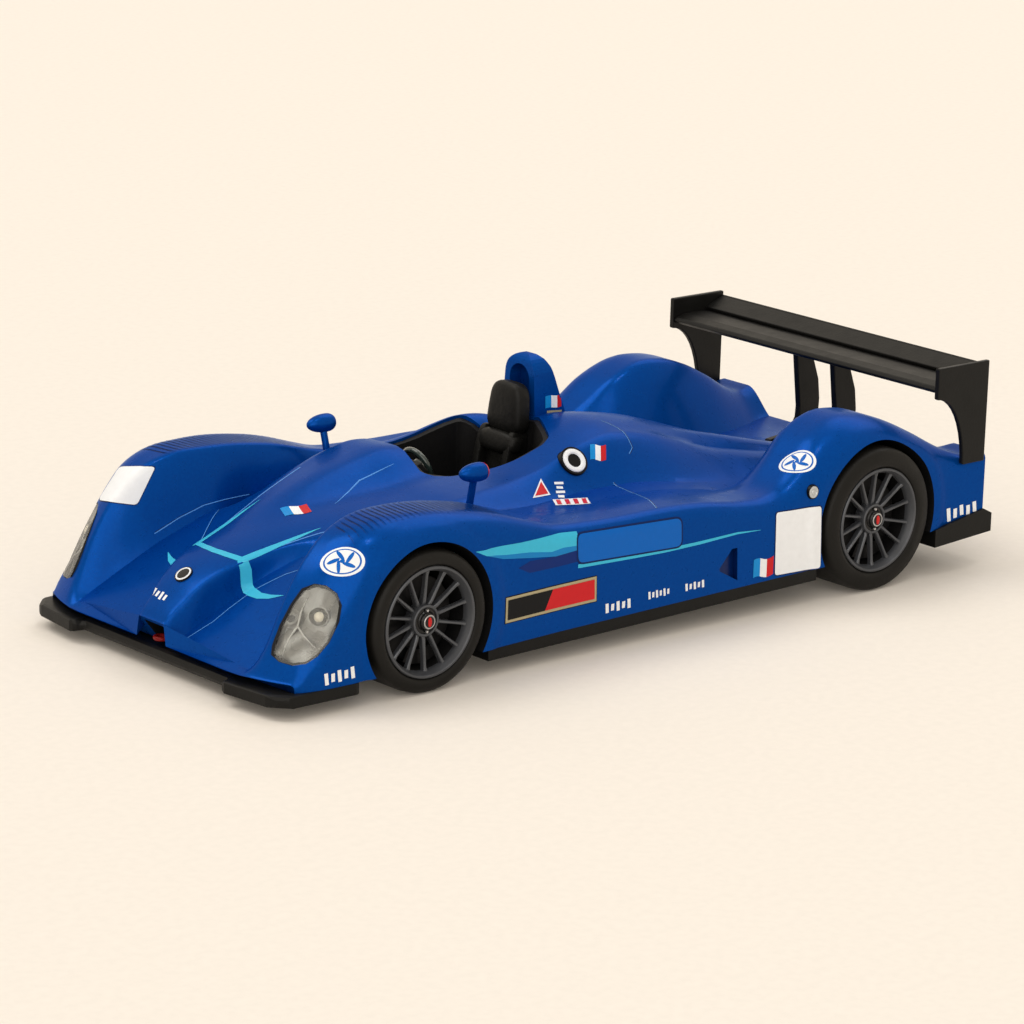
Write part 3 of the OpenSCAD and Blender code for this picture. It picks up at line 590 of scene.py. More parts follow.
@dataclass
class BodyShell:
    """The painted body: a loft through sections whose creases run along the table's columns.

    Attributes:
        half_width: Half the body's greatest width.
        front_axle: Place and height of the front axle.
        rear_axle: Place and height of the rear axle.
        front_arch: Radius of the front wheel arch.
        rear_arch: Radius of the rear wheel arch.
        front_well: Where the front wheel wells end, from the car's middle.
        rear_well: Where the rear wheel wells end.
        cowl_y: Middle of the hump ahead of the driver.
        outlet: Place along and across, and depth, of the duct behind each front wheel.
        station_step: Spacing of the sections.
    """

    half_width: float = 22.7
    front_axle: Flat = (32.7, 7.8)
    rear_axle: Flat = (-34.1, 8.4)
    front_arch: float = 8.65
    rear_arch: float = 9.25
    front_well: float = 15.2
    rear_well: float = 14.4
    cowl_y: float = -6.6
    outlet: Point = (29.5, 12.0, 2.6)
    station_step: float = 0.5
    surface: BVHTree | None = field(default=None, repr=False)

    # x, inset, crest, crest_y, foot_y, valley, deck, spine_foot, spine_y, spine, crown, shoulder
    ROWS = (
        (52.1, 1.2, 3.6, 17.0, 15.0, 3.55, 3.6, 2.6, 2.1, 5.9, 0.0, 0.5),
        (51.4, 0.8, 4.6, 17.2, 15.1, 3.8, 3.9, 2.9, 2.2, 6.7, 0.1, 1.0),
        (50.0, 0.5, 7.2, 17.2, 15.2, 4.5, 4.7, 3.3, 2.5, 8.0, 0.2, 2.6),
        (48.6, 0.3, 10.1, 17.0, 15.0, 5.3, 5.6, 3.6, 2.9, 9.3, 0.3, 3.6),
        (47.0, 0.2, 12.8, 16.8, 14.6, 6.3, 6.6, 4.0, 3.3, 10.4, 0.3, 4.4),
        (45.0, 0.1, 15.2, 16.6, 14.0, 7.6, 7.9, 4.6, 3.8, 11.3, 0.4, 4.8),
        (42.0, 0.1, 17.5, 16.2, 13.3, 9.4, 9.8, 5.4, 4.4, 12.2, 0.5, 4.6),
        (38.0, 0.0, 18.8, 15.6, 12.6, 11.2, 11.7, 6.6, 5.2, 13.2, 0.6, 4.2),
        (34.5, 0.0, 19.0, 15.2, 12.4, 12.2, 12.9, 7.8, 6.0, 13.9, 0.7, 3.8),
        (30.0, 0.0, 18.8, 15.0, 12.4, 12.6, 13.4, 9.4, 7.0, 14.5, 0.7, 3.2),
        (25.0, 0.1, 18.1, 15.0, 12.8, 13.4, 14.0, 11.0, 8.2, 15.0, 0.6, 2.8),
        (21.5, 0.2, 17.3, 15.0, 13.2, 14.2, 14.6, 11.8, 9.0, 15.4, 0.4, 2.6),
        (18.0, 0.3, 16.2, 15.2, 13.6, 14.8, 14.9, 12.0, 9.0, 15.9, 0.3, 2.2),
        (14.0, 0.4, 15.1, 16.4, 14.0, 14.6, 14.5, 11.6, 8.2, 16.1, 0.2, 1.8),
        (8.0, 0.4, 14.7, 18.2, 13.9, 14.2, 14.1, 10.8, 7.0, 16.2, 0.2, 1.6),
        (4.0, 0.4, 14.6, 18.6, 13.6, 14.1, 14.1, 10.2, 6.6, 16.7, 0.3, 1.6),
        (0.0, 0.4, 14.6, 18.8, 13.4, 14.1, 14.2, 9.8, 6.2, 17.8, 0.5, 1.6),
        (-4.0, 0.4, 14.5, 18.8, 13.2, 14.0, 14.2, 9.8, 5.8, 18.7, 0.7, 1.6),
        (-8.0, 0.4, 14.2, 18.6, 13.0, 13.8, 14.1, 10.0, 5.2, 19.0, 0.8, 1.6),
        (-14.0, 0.4, 13.4, 18.0, 12.6, 12.9, 13.3, 10.2, 4.4, 18.0, 1.0, 1.8),
        (-19.0, 0.4, 13.6, 17.0, 11.8, 11.9, 12.5, 9.8, 3.8, 16.4, 1.2, 2.4),
        (-23.0, 0.4, 16.2, 15.8, 10.8, 11.4, 12.0, 9.2, 3.2, 15.0, 1.3, 3.4),
        (-26.0, 0.4, 18.6, 15.0, 10.2, 11.2, 11.8, 8.4, 2.9, 14.1, 1.3, 4.2),
        (-30.0, 0.4, 20.2, 14.8, 9.8, 11.1, 11.6, 7.6, 2.6, 13.2, 1.2, 4.6),
        (-34.0, 0.4, 20.1, 14.8, 9.8, 11.0, 11.4, 7.0, 2.4, 12.4, 1.0, 4.6),
        (-38.0, 0.4, 18.9, 15.0, 10.2, 10.9, 11.2, 6.6, 2.2, 11.8, 0.6, 4.2),
        (-42.0, 0.4, 17.0, 15.4, 10.8, 10.8, 11.0, 6.2, 2.0, 11.3, 0.3, 3.6),
        (-46.0, 0.4, 14.8, 16.2, 12.0, 10.7, 10.8, 5.8, 2.0, 10.9, 0.1, 2.6),
        (-49.0, 0.3, 13.7, 17.0, 13.2, 10.7, 10.7, 5.6, 2.0, 10.7, 0.0, 1.2),
        (-51.6, 0.2, 13.9, 17.6, 13.6, 10.8, 10.8, 5.6, 2.0, 10.8, 0.0, 0.8),
    )
    # x, rise of the cowl ahead of the driver, rise of the right cockpit rim
    DRIVER = (
        (40, 0, 0), (36, 0.4, 0), (31, 1.3, 0), (25, 2.2, 0), (20, 2.7, 0), (17, 2.7, 0.4), (13, 2.0, 0.9),
        (9, 0.8, 1.4), (5, 0.0, 2.0), (1, 0, 2.9), (-2, 0, 3.4), (-6, 0, 3.2), (-11, 0, 1.9), (-17, 0, 0.5),
        (-22, 0, 0),
    )

    def row(self, x: float) -> list[float]:
        """Returns the table read at x."""
        return [x] + [curve(self.ROWS, c, x) for c in range(1, 12)]

    def sill(self, x: float) -> float:
        """Returns the height of the body's bottom edge at x."""
        return 3.1 + (self.front_axle[0] - x) * 0.018 + max(0.0, self.rear_axle[0] - 2 - x) * 0.16

    def top(self, r: Sequence[float], y: float) -> float:
        """Returns the height of the skin between the shoulders.

        Args:
            r: The table read at a station.
            y: Place across the car.
        """
        x, _, crest, crest_y, foot_y, valley, deck, spine_foot, spine_y, spine, crown, _ = r
        a = abs(y)

        def bend(t: float) -> float:
            """Leaves the crest gently and meets the foot at a crease."""
            u = min(1.0, max(0.0, t))
            return 0.4 * ease(u) + 0.6 * (1 - math.cos(math.pi * u / 2))

        if a <= spine_y:
            z = spine + crown * (1 - (a / spine_y) ** 2)
        elif a <= spine_foot:
            z = spine + (deck - spine) * bend((a - spine_y) / (spine_foot - spine_y))
        elif a <= foot_y:
            z = deck + (valley - deck) * (a - spine_foot) / (foot_y - spine_foot)
        elif a <= crest_y:
            z = crest + (valley - crest) * bend((crest_y - a) / (crest_y - foot_y))
        else:
            z = crest
        z += curve(self.DRIVER, 1, x) * ease((8 - abs(y - self.cowl_y)) / 5.5)
        z += curve(self.DRIVER, 2, x) * bell((y + 14.4) / 4.4)
        return z - self.outlet[2] * bell((x - self.outlet[0]) / 5) * bell((a - self.outlet[1]) / 2.6)

    def flare(self, x: float, z: float) -> float:
        """Returns how far the side stands out beside a wheel arch."""
        most = 0.0
        for (ax, az), radius in ((self.front_axle, self.front_arch), (self.rear_axle, self.rear_arch)):
            gap = math.hypot(x - ax, z - az) - radius
            most = max(most, 0.2 * ease((2.1 - gap) / 0.9))
        return most

    def section(self, x: float) -> list[Point]:
        """Returns one closed section from the left sill over to the right."""
        r = self.row(x)
        half, flat = self.half_width - r[1], 0.0
        flat = max(half - r[11], r[3] + 0.2)
        low = self.sill(x)
        spans = ((0.0, r[8], 6), (r[8], r[7], 12), (r[7], r[4], 7), (r[4], r[3], 14), (r[3], flat, 6))
        places = [0.0] + [a + (b - a) * k / n for a, b, n in spans for k in range(1, n + 1)]

        def shoulder(side: int) -> list[Point]:
            """Returns the side wall and rounded shoulder of one side, from the sill up."""
            crest = self.top(r, side * flat)
            drop = min(r[11], crest - low - 0.1)
            wall = [(half, low + (crest - drop - low) * k / 16) for k in range(16)]
            arc = [(flat + (half - flat) * math.cos(math.radians(a)), crest - drop + drop * math.sin(math.radians(a)))
                   for a in range(0, 90, 9)]
            return [(x, side * (y + self.flare(x, z) * ease((y - flat) / max(0.01, half - flat))), z)
                    for y, z in wall + arc]

        left, right = shoulder(1), shoulder(-1)
        top_left = [(x, y, self.top(r, y)) for y in reversed(places)]
        top_right = [(x, -y, self.top(r, -y)) for y in places[1:]]
        swept = left + top_left + top_right + right[::-1]
        return [(px - 3 * ease((px - 38) / 10) * (max(0.0, abs(y) - 12.5) / 10) ** 2, y, z) for px, y, z in swept]

    def build(self) -> bpy.types.Object:
        """Lofts the skin, keeps its surface for the markings and cuts the openings.

        Returns:
            The painted body.
        """
        nose, tail = self.ROWS[0][0], self.ROWS[-1][0]
        count = int((50.6 - tail) / self.station_step)
        stations = [nose, 52.0, 51.85, 51.65, 51.4, 51.1, 50.85]
        stations += [50.6 - (50.6 - tail) * k / count for k in range(count + 1)]
        sections = [self.section(x) for x in stations]
        k, n = len(sections[0]), len(sections)
        points = [p for s in sections for p in s]
        faces: list[tuple[int, ...]] = [
            (i * k + j, (i + 1) * k + j, (i + 1) * k + (j + 1) % k, i * k + (j + 1) % k)
            for i in range(n - 1) for j in range(k)]
        faces.append(tuple(range(k)))
        faces.append(tuple((n - 1) * k + j for j in range(k - 1, -1, -1)))
        self.surface = BVHTree.FromPolygons([Vector(p) for p in points], faces)
        obj = make("body_skin", points, faces, "blue")
        carve(obj, self.cutters())
        smooth(obj, 30)
        return settle(obj, CHASSIS, "body_shell")

    def cutters(self) -> list[bpy.types.Object]:
        """Returns the solids that are cut out of the skin."""
        found = []
        wells = ((self.front_axle, self.front_arch, self.front_well), (self.rear_axle, self.rear_arch, self.rear_well))
        for (ax, az), radius, inner in wells:
            for side in (1, -1):
                profile = [(0.0, side * inner), (radius, side * inner), (radius, side * 25.0), (0.0, side * 25.0)]
                part = revolve(profile, 160, closed=False)
                found.append(solid(merge("well", [moved(part, Matrix.Translation((ax, 0, az)))], "well")))
        found.append(make("opening", *prism(Cockpit.edge(), 4.4, 34.0), "blue"))
        for side in Side:
            found.append(solid(merge("lamp", [Headlamp(side).prism(-2.3, 5.0)], "bucket")))
        filler = revolve([(0.0, 0.0), (1.75, 0.0), (1.75, 6.0), (0.0, 6.0)], 64, closed=False)
        found.append(solid(merge("filler", [moved(filler, Trim.filler_seat())], "well")))
        for x, width in ((-23.5, 0.85),):
            for side in (1, -1):
                hole = revolve([(0.0, 20.7), (width, 20.7), (width, 24.0), (0.0, 24.0)], 48, closed=False)
                place = Matrix.Diagonal((1, side, 1, 1)) @ Matrix.Translation((x, 0, 13.3))
                found.append(solid(merge("fastener", [moved(hole, place)], "well")))
        found.append(merge("duct", [block((4.0, 3.5, 2.1), (51.1, 0, 4.45))], "well"))
        # The side scoop is cut with the dark gap ink, so its inner faces carry painted shade.
        wedge = ((-9.3, 6.4, 22.35), (-11.3, 8.6, 21.8), (-12.1, 8.6, 21.6), (-12.3, 4.8, 21.6))
        for side in (1, -1):
            points = [(x, 23.5, z) for x, z, _ in wedge] + [(x, deep, z) for x, z, deep in wedge]
            faces = [(0, 1, 2, 3), (7, 6, 5, 4)] + [(i, (i + 1) % 4, 4 + (i + 1) % 4, 4 + i) for i in range(4)]
            found.append(solid(merge("scoop", [moved((points, faces), Matrix.Diagonal((1, side, 1, 1)))], "line")))
        return found

    def above(self, x: float, y: float) -> Vector:
        """Returns the point of the skin above a place on the floor."""
        place = self.surface.ray_cast(Vector((x, y, 60)), Vector((0, 0, -1)))[0]
        return place if place is not None else Vector((x, y, self.top(self.row(x), y)))

    def nearest(self, spot: Vector) -> tuple[Vector, Vector]:
        """Returns the skin's nearest point and its outward normal."""
        place, normal, _, _ = self.surface.find_nearest(spot)
        return place, normal

    def drop(self, origin: Vector, way: Vector) -> tuple[Vector, Vector] | None:
        """Returns where a ray meets the skin, and the skin's outward normal, or None."""
        place, normal, _, _ = self.surface.ray_cast(origin, way)
        if place is None:
            return None
        return place, normal if normal.dot(way) < 0 else -normal


class NodeSkin:
    """The surface of a CAD node, on which markings can be laid."""

    def __init__(self, node: str) -> None:
        """Reads the node's mesh in millimetres.

        Args:
            node: The node's name.
        """
        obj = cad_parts[node]
        spots = [obj.matrix_world @ v.co / MM for v in obj.data.vertices]
        self.surface = BVHTree.FromPolygons(spots, [tuple(p.vertices) for p in obj.data.polygons])

    def drop(self, origin: Vector, way: Vector) -> tuple[Vector, Vector] | None:
        """Returns where a ray meets the node, and its outward normal, or None."""
        place, normal, _, _ = self.surface.ray_cast(origin, way)
        if place is None:
            return None
        return place, normal if normal.dot(way) < 0 else -normal


def solid(obj: bpy.types.Object) -> bpy.types.Object:
    """Welds an object's points and turns its faces outward."""
    mesh = bmesh.new()
    mesh.from_mesh(obj.data)
    bmesh.ops.remove_doubles(mesh, verts=mesh.verts, dist=1e-7)
    bmesh.ops.recalc_face_normals(mesh, faces=mesh.faces)
    mesh.to_mesh(obj.data)
    mesh.free()
    return obj


@dataclass
class Cockpit:
    """The driver's opening, its tub, seat and controls.

    Attributes:
        seat_x: The seat's back.
        seat_y: The seat's middle, right of the car's middle.
        floor_z: Height of the tub's floor.
    """

    seat_x: float = -4.25
    seat_y: float = -7.5
    floor_z: float = 5.0

    CORNERS = ((15.5, -12.2), (15.5, 0.5), (13.2, 2.6), (0.2, 3.0), (-1.5, 2.2), (-4.9, -3.6), (-4.9, -12.0),
               (-2.5, -14.6), (12.8, -14.6))

    @staticmethod
    def edge(radius: float = 1.8, steps: int = 5) -> list[Flat]:
        """Returns the opening's outline with rounded corners, anticlockwise."""
        path = [Vector(c) for c in Cockpit.CORNERS]
        found: list[Flat] = []
        for i, corner in enumerate(path):
            a = (path[i - 1] - corner).normalized()
            b = (path[(i + 1) % len(path)] - corner).normalized()
            half = math.acos(a.dot(b)) / 2
            middle = corner + (a + b).normalized() * radius / math.sin(half)
            first = corner + a * radius / math.tan(half) - middle
            turn = (math.pi - 2 * half) / steps
            for j in range(steps + 1):
                c, s = math.cos(j * turn), math.sin(j * turn)
                found.append((middle.x + first.x * c - first.y * s, middle.y + first.x * s + first.y * c))
        return found

    def cushion(self, size: Point, place: Point, tilt: float = 0.0, square: float = 0.5, taper: float = 0.0) -> tuple:
        """Returns a soft cushion.

        Args:
            size: Its size.
            place: Its middle.
            tilt: Degrees that its top leans back.
            square: 1 for an egg, towards 0 for a block.
            taper: Share by which its top is narrower than its foot.

        Returns:
            Points and faces.
        """
        def power(value: float) -> float:
            """Returns a sine or cosine pushed out towards a block's face."""
            return math.copysign(abs(value) ** square, value)

        n = 16
        points: list[Point] = []
        for i in range(n + 1):
            a = math.pi * (i / n - 0.5)
            rise, wide = power(math.sin(a)), abs(math.cos(a)) ** square
            narrow = 1 - taper * (rise + 1) / 2
            for j in range(2 * n):
                b = math.pi * j / n
                points.append((power(math.cos(b)) * size[0] / 2 * wide,
                               power(math.sin(b)) * size[1] / 2 * wide * narrow, rise * size[2] / 2))
        k = 2 * n
        faces = [(i * k + j, i * k + (j + 1) % k, (i + 1) * k + (j + 1) % k, (i + 1) * k + j)
                 for i in range(n) for j in range(k)]
        turn = Matrix.Translation(place) @ Matrix.Rotation(-math.radians(tilt), 4, "Y")
        return moved((points, faces), turn)

    def build(self) -> None:
        """Builds the seat and the controls and dresses the tub."""
        x, y, z = self.seat_x, self.seat_y, self.floor_z
        pads = [
            self.cushion((2.5, 6.1, 5.9), (x + 0.85, y + 0.5, 20.0), 5, 0.5, 0.22),
            self.cushion((1.9, 5.2, 1.6), (x + 0.9, y + 0.4, 17.7), 8, 0.6),
            self.cushion((2.7, 6.3, 2.7), (x + 1.7, y + 0.2, 16.0), 12, 0.62),
            self.cushion((1.8, 5.4, 7.4), (x + 1.5, y, 12.0), 12, 0.4),
            self.cushion((9.4, 5.0, 2.2), (x + 5.0, y, 6.9), -4, 0.4),
        ]
        for side in (1, -1):
            pads.append(self.cushion((3.0, 1.1, 10.4), (x + 2.1, y + side * 2.45, 12.4), 12, 0.42))
            pads.append(self.cushion((7.8, 1.1, 3.4), (x + 5.8, y + side * 2.35, 7.8), 0, 0.42))
        seat = solid(merge("seat_pads", pads, "seat", 60))
        settle(seat, CHASSIS, "seat")
        dress("cockpit_tub", "tub", 0.15)
        dress("dash", "tub", 0.2)
        dress("steering_wheel", "grip", 0.0)


def dress(node: str, key: str, width: float = 0.0, crease: float = 34.0) -> bpy.types.Object:
    """Gives a CAD node its finish and, if asked, rounded edges.

    Args:
        node: The node's name.
        key: Its finish.
        width: Width of the rounded edges in millimetres, or 0.
        crease: Degrees past which an edge is rounded.
    """
    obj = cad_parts[node]
    obj.data.materials.clear()
    obj.data.materials.append(finish(key))
    if width:
        rounded(obj, width, 2, crease)
    log.info("%s dressed in %s", node, key)
    return obj


@dataclass
class Headlamp:
    """One headlamp: the recess in the fender, its reflectors and its clear cover.

    Attributes:
        side: The car's side.
        place: Middle of the lamp's seat on the left side.
        tilt: How far the seat leans forward from level, in degrees.
        turn: How far it faces outward.
    """

    side: Side
    place: Point = (46.9, 19.4, 9.2)
    tilt: float = 68.0
    turn: float = 38.0

    # Down the slope, then outward.
    OUTLINE = ((-3.7, -0.6), (-4.3, 0.7), (-4.2, 2.0), (-3.5, 3.2), (-2.3, 3.8), (-0.6, 3.7), (1.7, 2.9),
               (3.2, 1.9), (4.1, 0.8), (4.4, -0.6), (4.1, -2.1), (3.4, -3.1), (2.4, -3.1), (0.2, -2.5), (-2.0, -1.6))

    def matrix(self) -> Matrix:
        """Returns the matrix that seats the lamp on its side of the car."""
        seat = (Matrix.Translation(self.place) @ Matrix.Rotation(math.radians(self.turn), 4, "Z")
                @ Matrix.Rotation(math.radians(self.tilt), 4, "Y"))
        return Matrix.Diagonal((1, self.side.value, 1, 1)) @ seat

    def prism(self, low: float, high: float, size: float = 1.0) -> tuple:
        """Returns the lamp's outline as a prism on its seat."""
        path = [(u * size, v * size) for u, v in self.OUTLINE][::-1]
        return moved(prism(path, low, high), self.matrix())

    def build(self) -> None:
        """Builds the reflectors, with pale ribs as painted reflection streaks, and dresses the cover and the recess."""
        name = self.side.name.lower()
        dress(f"headlight_lens_{name}", "clear")
        dress(f"headlight_bucket_{name}", "bucket")
        turn = self.matrix()
        upright = Matrix.Rotation(math.radians(90), 4, "X")
        spot = turn @ Matrix.Translation((-0.93, 1.4, -0.2)) @ upright
        bowl = [(0.0, -0.75), (0.5, -0.7), (0.82, -0.45), (0.95, -0.1), (1.05, -0.1), (1.05, -0.5), (0.0, -1.0)]
        bulb = [(0.0, 0.0), (0.28, -0.05), (0.5, -0.22), (0.56, -0.45), (0.5, -0.7), (0.0, -0.7)]
        settle(solid(merge(f"lamp_tray_{name}", [moved(self.tray(), turn)], "chrome", 60)), CHASSIS)
        settle(solid(merge(f"lamp_bowl_{name}", [moved(revolve(bowl, 40, False), spot)], "chrome")), CHASSIS)
        settle(solid(merge(f"lamp_bulb_{name}", [moved(revolve(bulb, 24, False), spot)], "bulb")), CHASSIS)
        # Three pale ribs fanning out from the bulb: painted reflection streaks.
        ribs = []
        for path in ([(0.2, -0.7), (-1.2, -0.5), (-2.8, 0.0)], [(0.2, -0.7), (1.3, 0.2), (2.2, 1.2)],
                     [(0.2, -0.7), (1.7, -1.5), (3.4, -2.0)]):
            ribs.append(moved(prism(stripe(path, [0.16, 0.14, 0.04])[::-1], -0.95, -0.62), turn))
        settle(solid(merge(f"lamp_ribs_{name}", ribs, "rib")), CHASSIS)
        ring = moved(gasket(self.OUTLINE, 0.3, -0.9, 0.12), turn)
        settle(solid(merge(f"lamp_edge_{name}", [ring], "black")), CHASSIS)

    def tray(self, cells: int = 44) -> tuple:
        """Returns the bright tray behind the cover, pressed in soft folds."""
        def fold(u: float, v: float) -> float:
            """Returns the tray's height at a place on its seat."""
            wave = 0.2 * math.sin(1.1 * u + 0.9 * v + 0.5) + 0.1 * math.sin(1.5 * v - 0.9 * u)
            return -1.05 + wave + 0.05 * math.sin(1.9 * u + 1.2 * math.sin(1.1 * v))
        path = [(u * 0.96, v * 0.96) for u, v in self.OUTLINE]

        def within(u: float, v: float) -> bool:
            """Tells whether a place lies inside the lamp's outline."""
            inside = False
            for (ua, va), (ub, vb) in zip(path, path[1:] + path[:1]):
                if (va > v) != (vb > v) and u < ua + (ub - ua) * (v - va) / (vb - va):
                    inside = not inside
            return inside
        points, faces, seen = [], [], {}
        for i in range(cells):
            for j in range(cells):
                ring = [(-4.5 + 9.2 * (i + a) / cells, -3.3 + 7.3 * (j + b) / cells)
                        for a, b in ((0, 0), (1, 0), (1, 1), (0, 1))]
                if not all(within(u, v) for u, v in ring):
                    continue
                face = []
                for u, v in ring:
                    spot = (round(u, 4), round(v, 4))
                    if spot not in seen:
                        seen[spot] = len(points)
                        points.append((u, v, fold(u, v)))
                    face.append(seen[spot])
                faces.append(tuple(face))
        return points, faces


def gasket(path: Sequence[Flat], width: float, low: float, high: float) -> tuple:
    """Returns a flat ring that follows a closed path, width wide inside it."""
    n = len(path)
    middle = Vector((sum(p[0] for p in path) / n, sum(p[1] for p in path) / n))
    inner = []
    for i, p in enumerate(path):
        a, b = Vector(path[i - 1]), Vector(path[(i + 1) % n])
        along = (b - a).normalized()
        out = Vector((along.y, -along.x))
        if out.dot(Vector(p) - middle) < 0:
            out = -out
        inner.append((p[0] - out.x * width, p[1] - out.y * width))
    points = [(x, y, z) for ring, z in ((path, low), (path, high), (inner, high), (inner, low)) for x, y in ring]
    faces = [(q * n + i, q * n + (i + 1) % n, (q + 1) % 4 * n + (i + 1) % n, (q + 1) % 4 * n + i)
             for q in range(4) for i in range(n)]
    return points, faces


# Markings


@dataclass
class Marking:
    """A flat outline laid on the painted body.

    Attributes:
        name: The piece's name.
        outline: Points on its sheet: (x, y) from above, (x, z) from a side.
        key: Its finish.
        sheet: The plane that it is drawn on.
        lift: How far it stands off the skin.
    """

    name: str
    outline: Sequence[Flat]
    key: str
    sheet: Sheet
    lift: float = 0.03

    def carry(self, u: float, v: float) -> tuple[Vector, Vector]:
        """Returns where a ray through an outline point starts, and its direction."""
        sheet = self.sheet
        normal = Vector(sheet.normal)
        return Vector(sheet.origin) + Vector(sheet.u) * u + Vector(sheet.v) * v + normal * sheet.reach, -normal

    def lay(self, body: BodyShell | NodeSkin, pitch: float = 0.35) -> tuple[list[Point], list[tuple[int, ...]]]:
        """Cuts the outline into small cells and drops them on the skin.

        Args:
            body: The painted body or a CAD node's skin.
            pitch: Size of the cells.

        Returns:
            Points and faces.
        """
        mesh = bmesh.new()
        mesh.faces.new([mesh.verts.new((u, v, 0)) for u, v in self.outline])
        bmesh.ops.triangulate(mesh, faces=mesh.faces[:])
        for axis in (0, 1):
            low = min(p[axis] for p in self.outline)
            high = max(p[axis] for p in self.outline)
            normal = (1, 0, 0) if axis == 0 else (0, 1, 0)
            for k in range(1, int((high - low) / pitch) + 1):
                at = low + k * pitch
                place = (at, 0, 0) if axis == 0 else (0, at, 0)
                bmesh.ops.bisect_plane(mesh, geom=mesh.verts[:] + mesh.edges[:] + mesh.faces[:],
                                       plane_co=place, plane_no=normal)
        mesh.verts.index_update()
        points, kept, facing = [], set(), Vector((0, 0, 0))
        for vert in mesh.verts:
            origin, way = self.carry(vert.co.x, vert.co.y)
            hit = body.drop(origin, way)
            if hit is None:
                points.append((0.0, 0.0, 0.0))
                continue
            kept.add(vert.index)
            facing += hit[1]
            points.append(tuple(hit[0] + hit[1] * self.lift))
        faces = [tuple(v.index for v in f.verts) for f in mesh.faces if all(v.index in kept for v in f.verts)]
        mesh.free()
        turn = Vector((0, 0, 0))
        for f in faces[:40]:
            a, b, c = (Vector(points[i]) for i in f[:3])
            turn += (b - a).cross(c - b)
        if turn.dot(facing) < 0:
            faces = [tuple(reversed(f)) for f in faces]
        return points, faces

    def build(self, body: BodyShell | NodeSkin) -> bpy.types.Object:
        """Makes the marking and lets it ride on the chassis."""
        return settle(swept(merge(self.name, [self.lay(body)], self.key, 60)), CHASSIS)


def swept(obj: bpy.types.Object) -> bpy.types.Object:
    """Removes an object's points that belong to no face."""
    mesh = bmesh.new()
    mesh.from_mesh(obj.data)
    bmesh.ops.delete(mesh, geom=[v for v in mesh.verts if not v.link_faces], context="VERTS")
    mesh.to_mesh(obj.data)
    mesh.free()
    smooth(obj, 60)
    return obj


@dataclass
class Ribbon:
    """A narrow band draped along a path on the painted body.

    Attributes:
        name: The piece's name.
        path: Places near the skin: (x, y) from above, or (x, y, z).
        widths: The width at each place, or one width.
        key: Its finish.
        lift: How far it stands off the skin.
        pitch: Length of its cells.
    """

    name: str
    path: Sequence[Sequence[float]]
    widths: Sequence[float] | float
    key: str
    lift: float = 0.03
    pitch: float = 0.3

    def lay(self, body: BodyShell) -> tuple[list[Point], list[tuple[int, ...]]]:
        """Walks along the path and drops both edges on the skin."""
        many = [self.widths] * len(self.path) if isinstance(self.widths, (int, float)) else list(self.widths)
        spots = [Vector(p) if len(p) == 3 else body.above(p[0], p[1]) for p in self.path]
        walk: list[tuple[Vector, float]] = []
        for i in range(len(spots) - 1):
            count = max(1, int((spots[i + 1] - spots[i]).length / self.pitch))
            walk += [(spots[i].lerp(spots[i + 1], k / count), many[i] + (many[i + 1] - many[i]) * k / count)
                     for k in range(count)]
        walk.append((spots[-1], many[-1]))
        points: list[Point] = []
        for i, (spot, width) in enumerate(walk):
            along = walk[min(i + 2, len(walk) - 1)][0] - walk[max(0, i - 2)][0]
            place, normal = body.nearest(spot)
            out = normal.cross(along).normalized() * width / 2
            for share in (1, 0.33, -0.33, -1):
                edge, lean = body.nearest(place + out * share)
                points.append(tuple(edge + lean * self.lift))
        faces = [(4 * i + j, 4 * i + j + 1, 4 * i + j + 5, 4 * i + j + 4) for i in range(len(walk) - 1) for j in range(3)]
        return points, faces

    def build(self, body: BodyShell) -> bpy.types.Object:
        """Makes the band and lets it ride on the chassis."""
        return settle(make(self.name, *self.lay(body), self.key, 60), CHASSIS)


def stripe(path: Sequence[Flat], widths: Sequence[float] | float) -> list[Flat]:
    """Returns the outline of a band along a path.

    Args:
        path: The middle line.
        widths: The width at each point, or one width.

    Returns:
        The outline.
    """
    many = [widths] * len(path) if isinstance(widths, (int, float)) else list(widths)
    left, right = [], []
    for i, p in enumerate(path):
        a = Vector(path[max(0, i - 1)])
        b = Vector(path[min(len(path) - 1, i + 1)])
        along = (b - a).normalized()
        out = Vector((-along.y, along.x)) * many[i] / 2
        left.append((p[0] + out.x, p[1] + out.y))
        right.append((p[0] - out.x, p[1] - out.y))
    return left + right[::-1]


def fillet(corners: Sequence[Flat], radius: float, steps: int = 4) -> list[Flat]:
    """Returns a closed outline with rounded corners."""
    found: list[Flat] = []
    path = [Vector(c) for c in corners]
    for i, corner in enumerate(path):
        a = (path[i - 1] - corner)
        b = (path[(i + 1) % len(path)] - corner)
        reach = min(radius, a.length / 2.1, b.length / 2.1)
        first, last = corner + a.normalized() * reach, corner + b.normalized() * reach
        for k in range(steps + 1):
            t = k / steps
            q = first * (1 - t) ** 2 + corner * 2 * t * (1 - t) + last * t * t
            found.append((q.x, q.y))
    return found


def grow(corners: Sequence[Flat], by: float) -> list[Flat]:
    """Returns corners moved away from their middle."""
    n = len(corners)
    cx, cy = sum(c[0] for c in corners) / n, sum(c[1] for c in corners) / n
    found = []
    for x, y in corners:
        found.append((x + (by if x > cx else -by), y + (by if y > cy else -by)))
    return found


def oval(middle: Flat, size: Flat, turn: float = 0.0, steps: int = 40) -> list[Flat]:
    """Returns an oval outline."""
    c, s = math.cos(math.radians(turn)), math.sin(math.radians(turn))
    found = []
    for k in range(steps):
        a = 2 * math.pi * k / steps
        u, v = size[0] / 2 * math.cos(a), size[1] / 2 * math.sin(a)
        found.append((middle[0] + u * c - v * s, middle[1] + u * s + v * c))
    return found


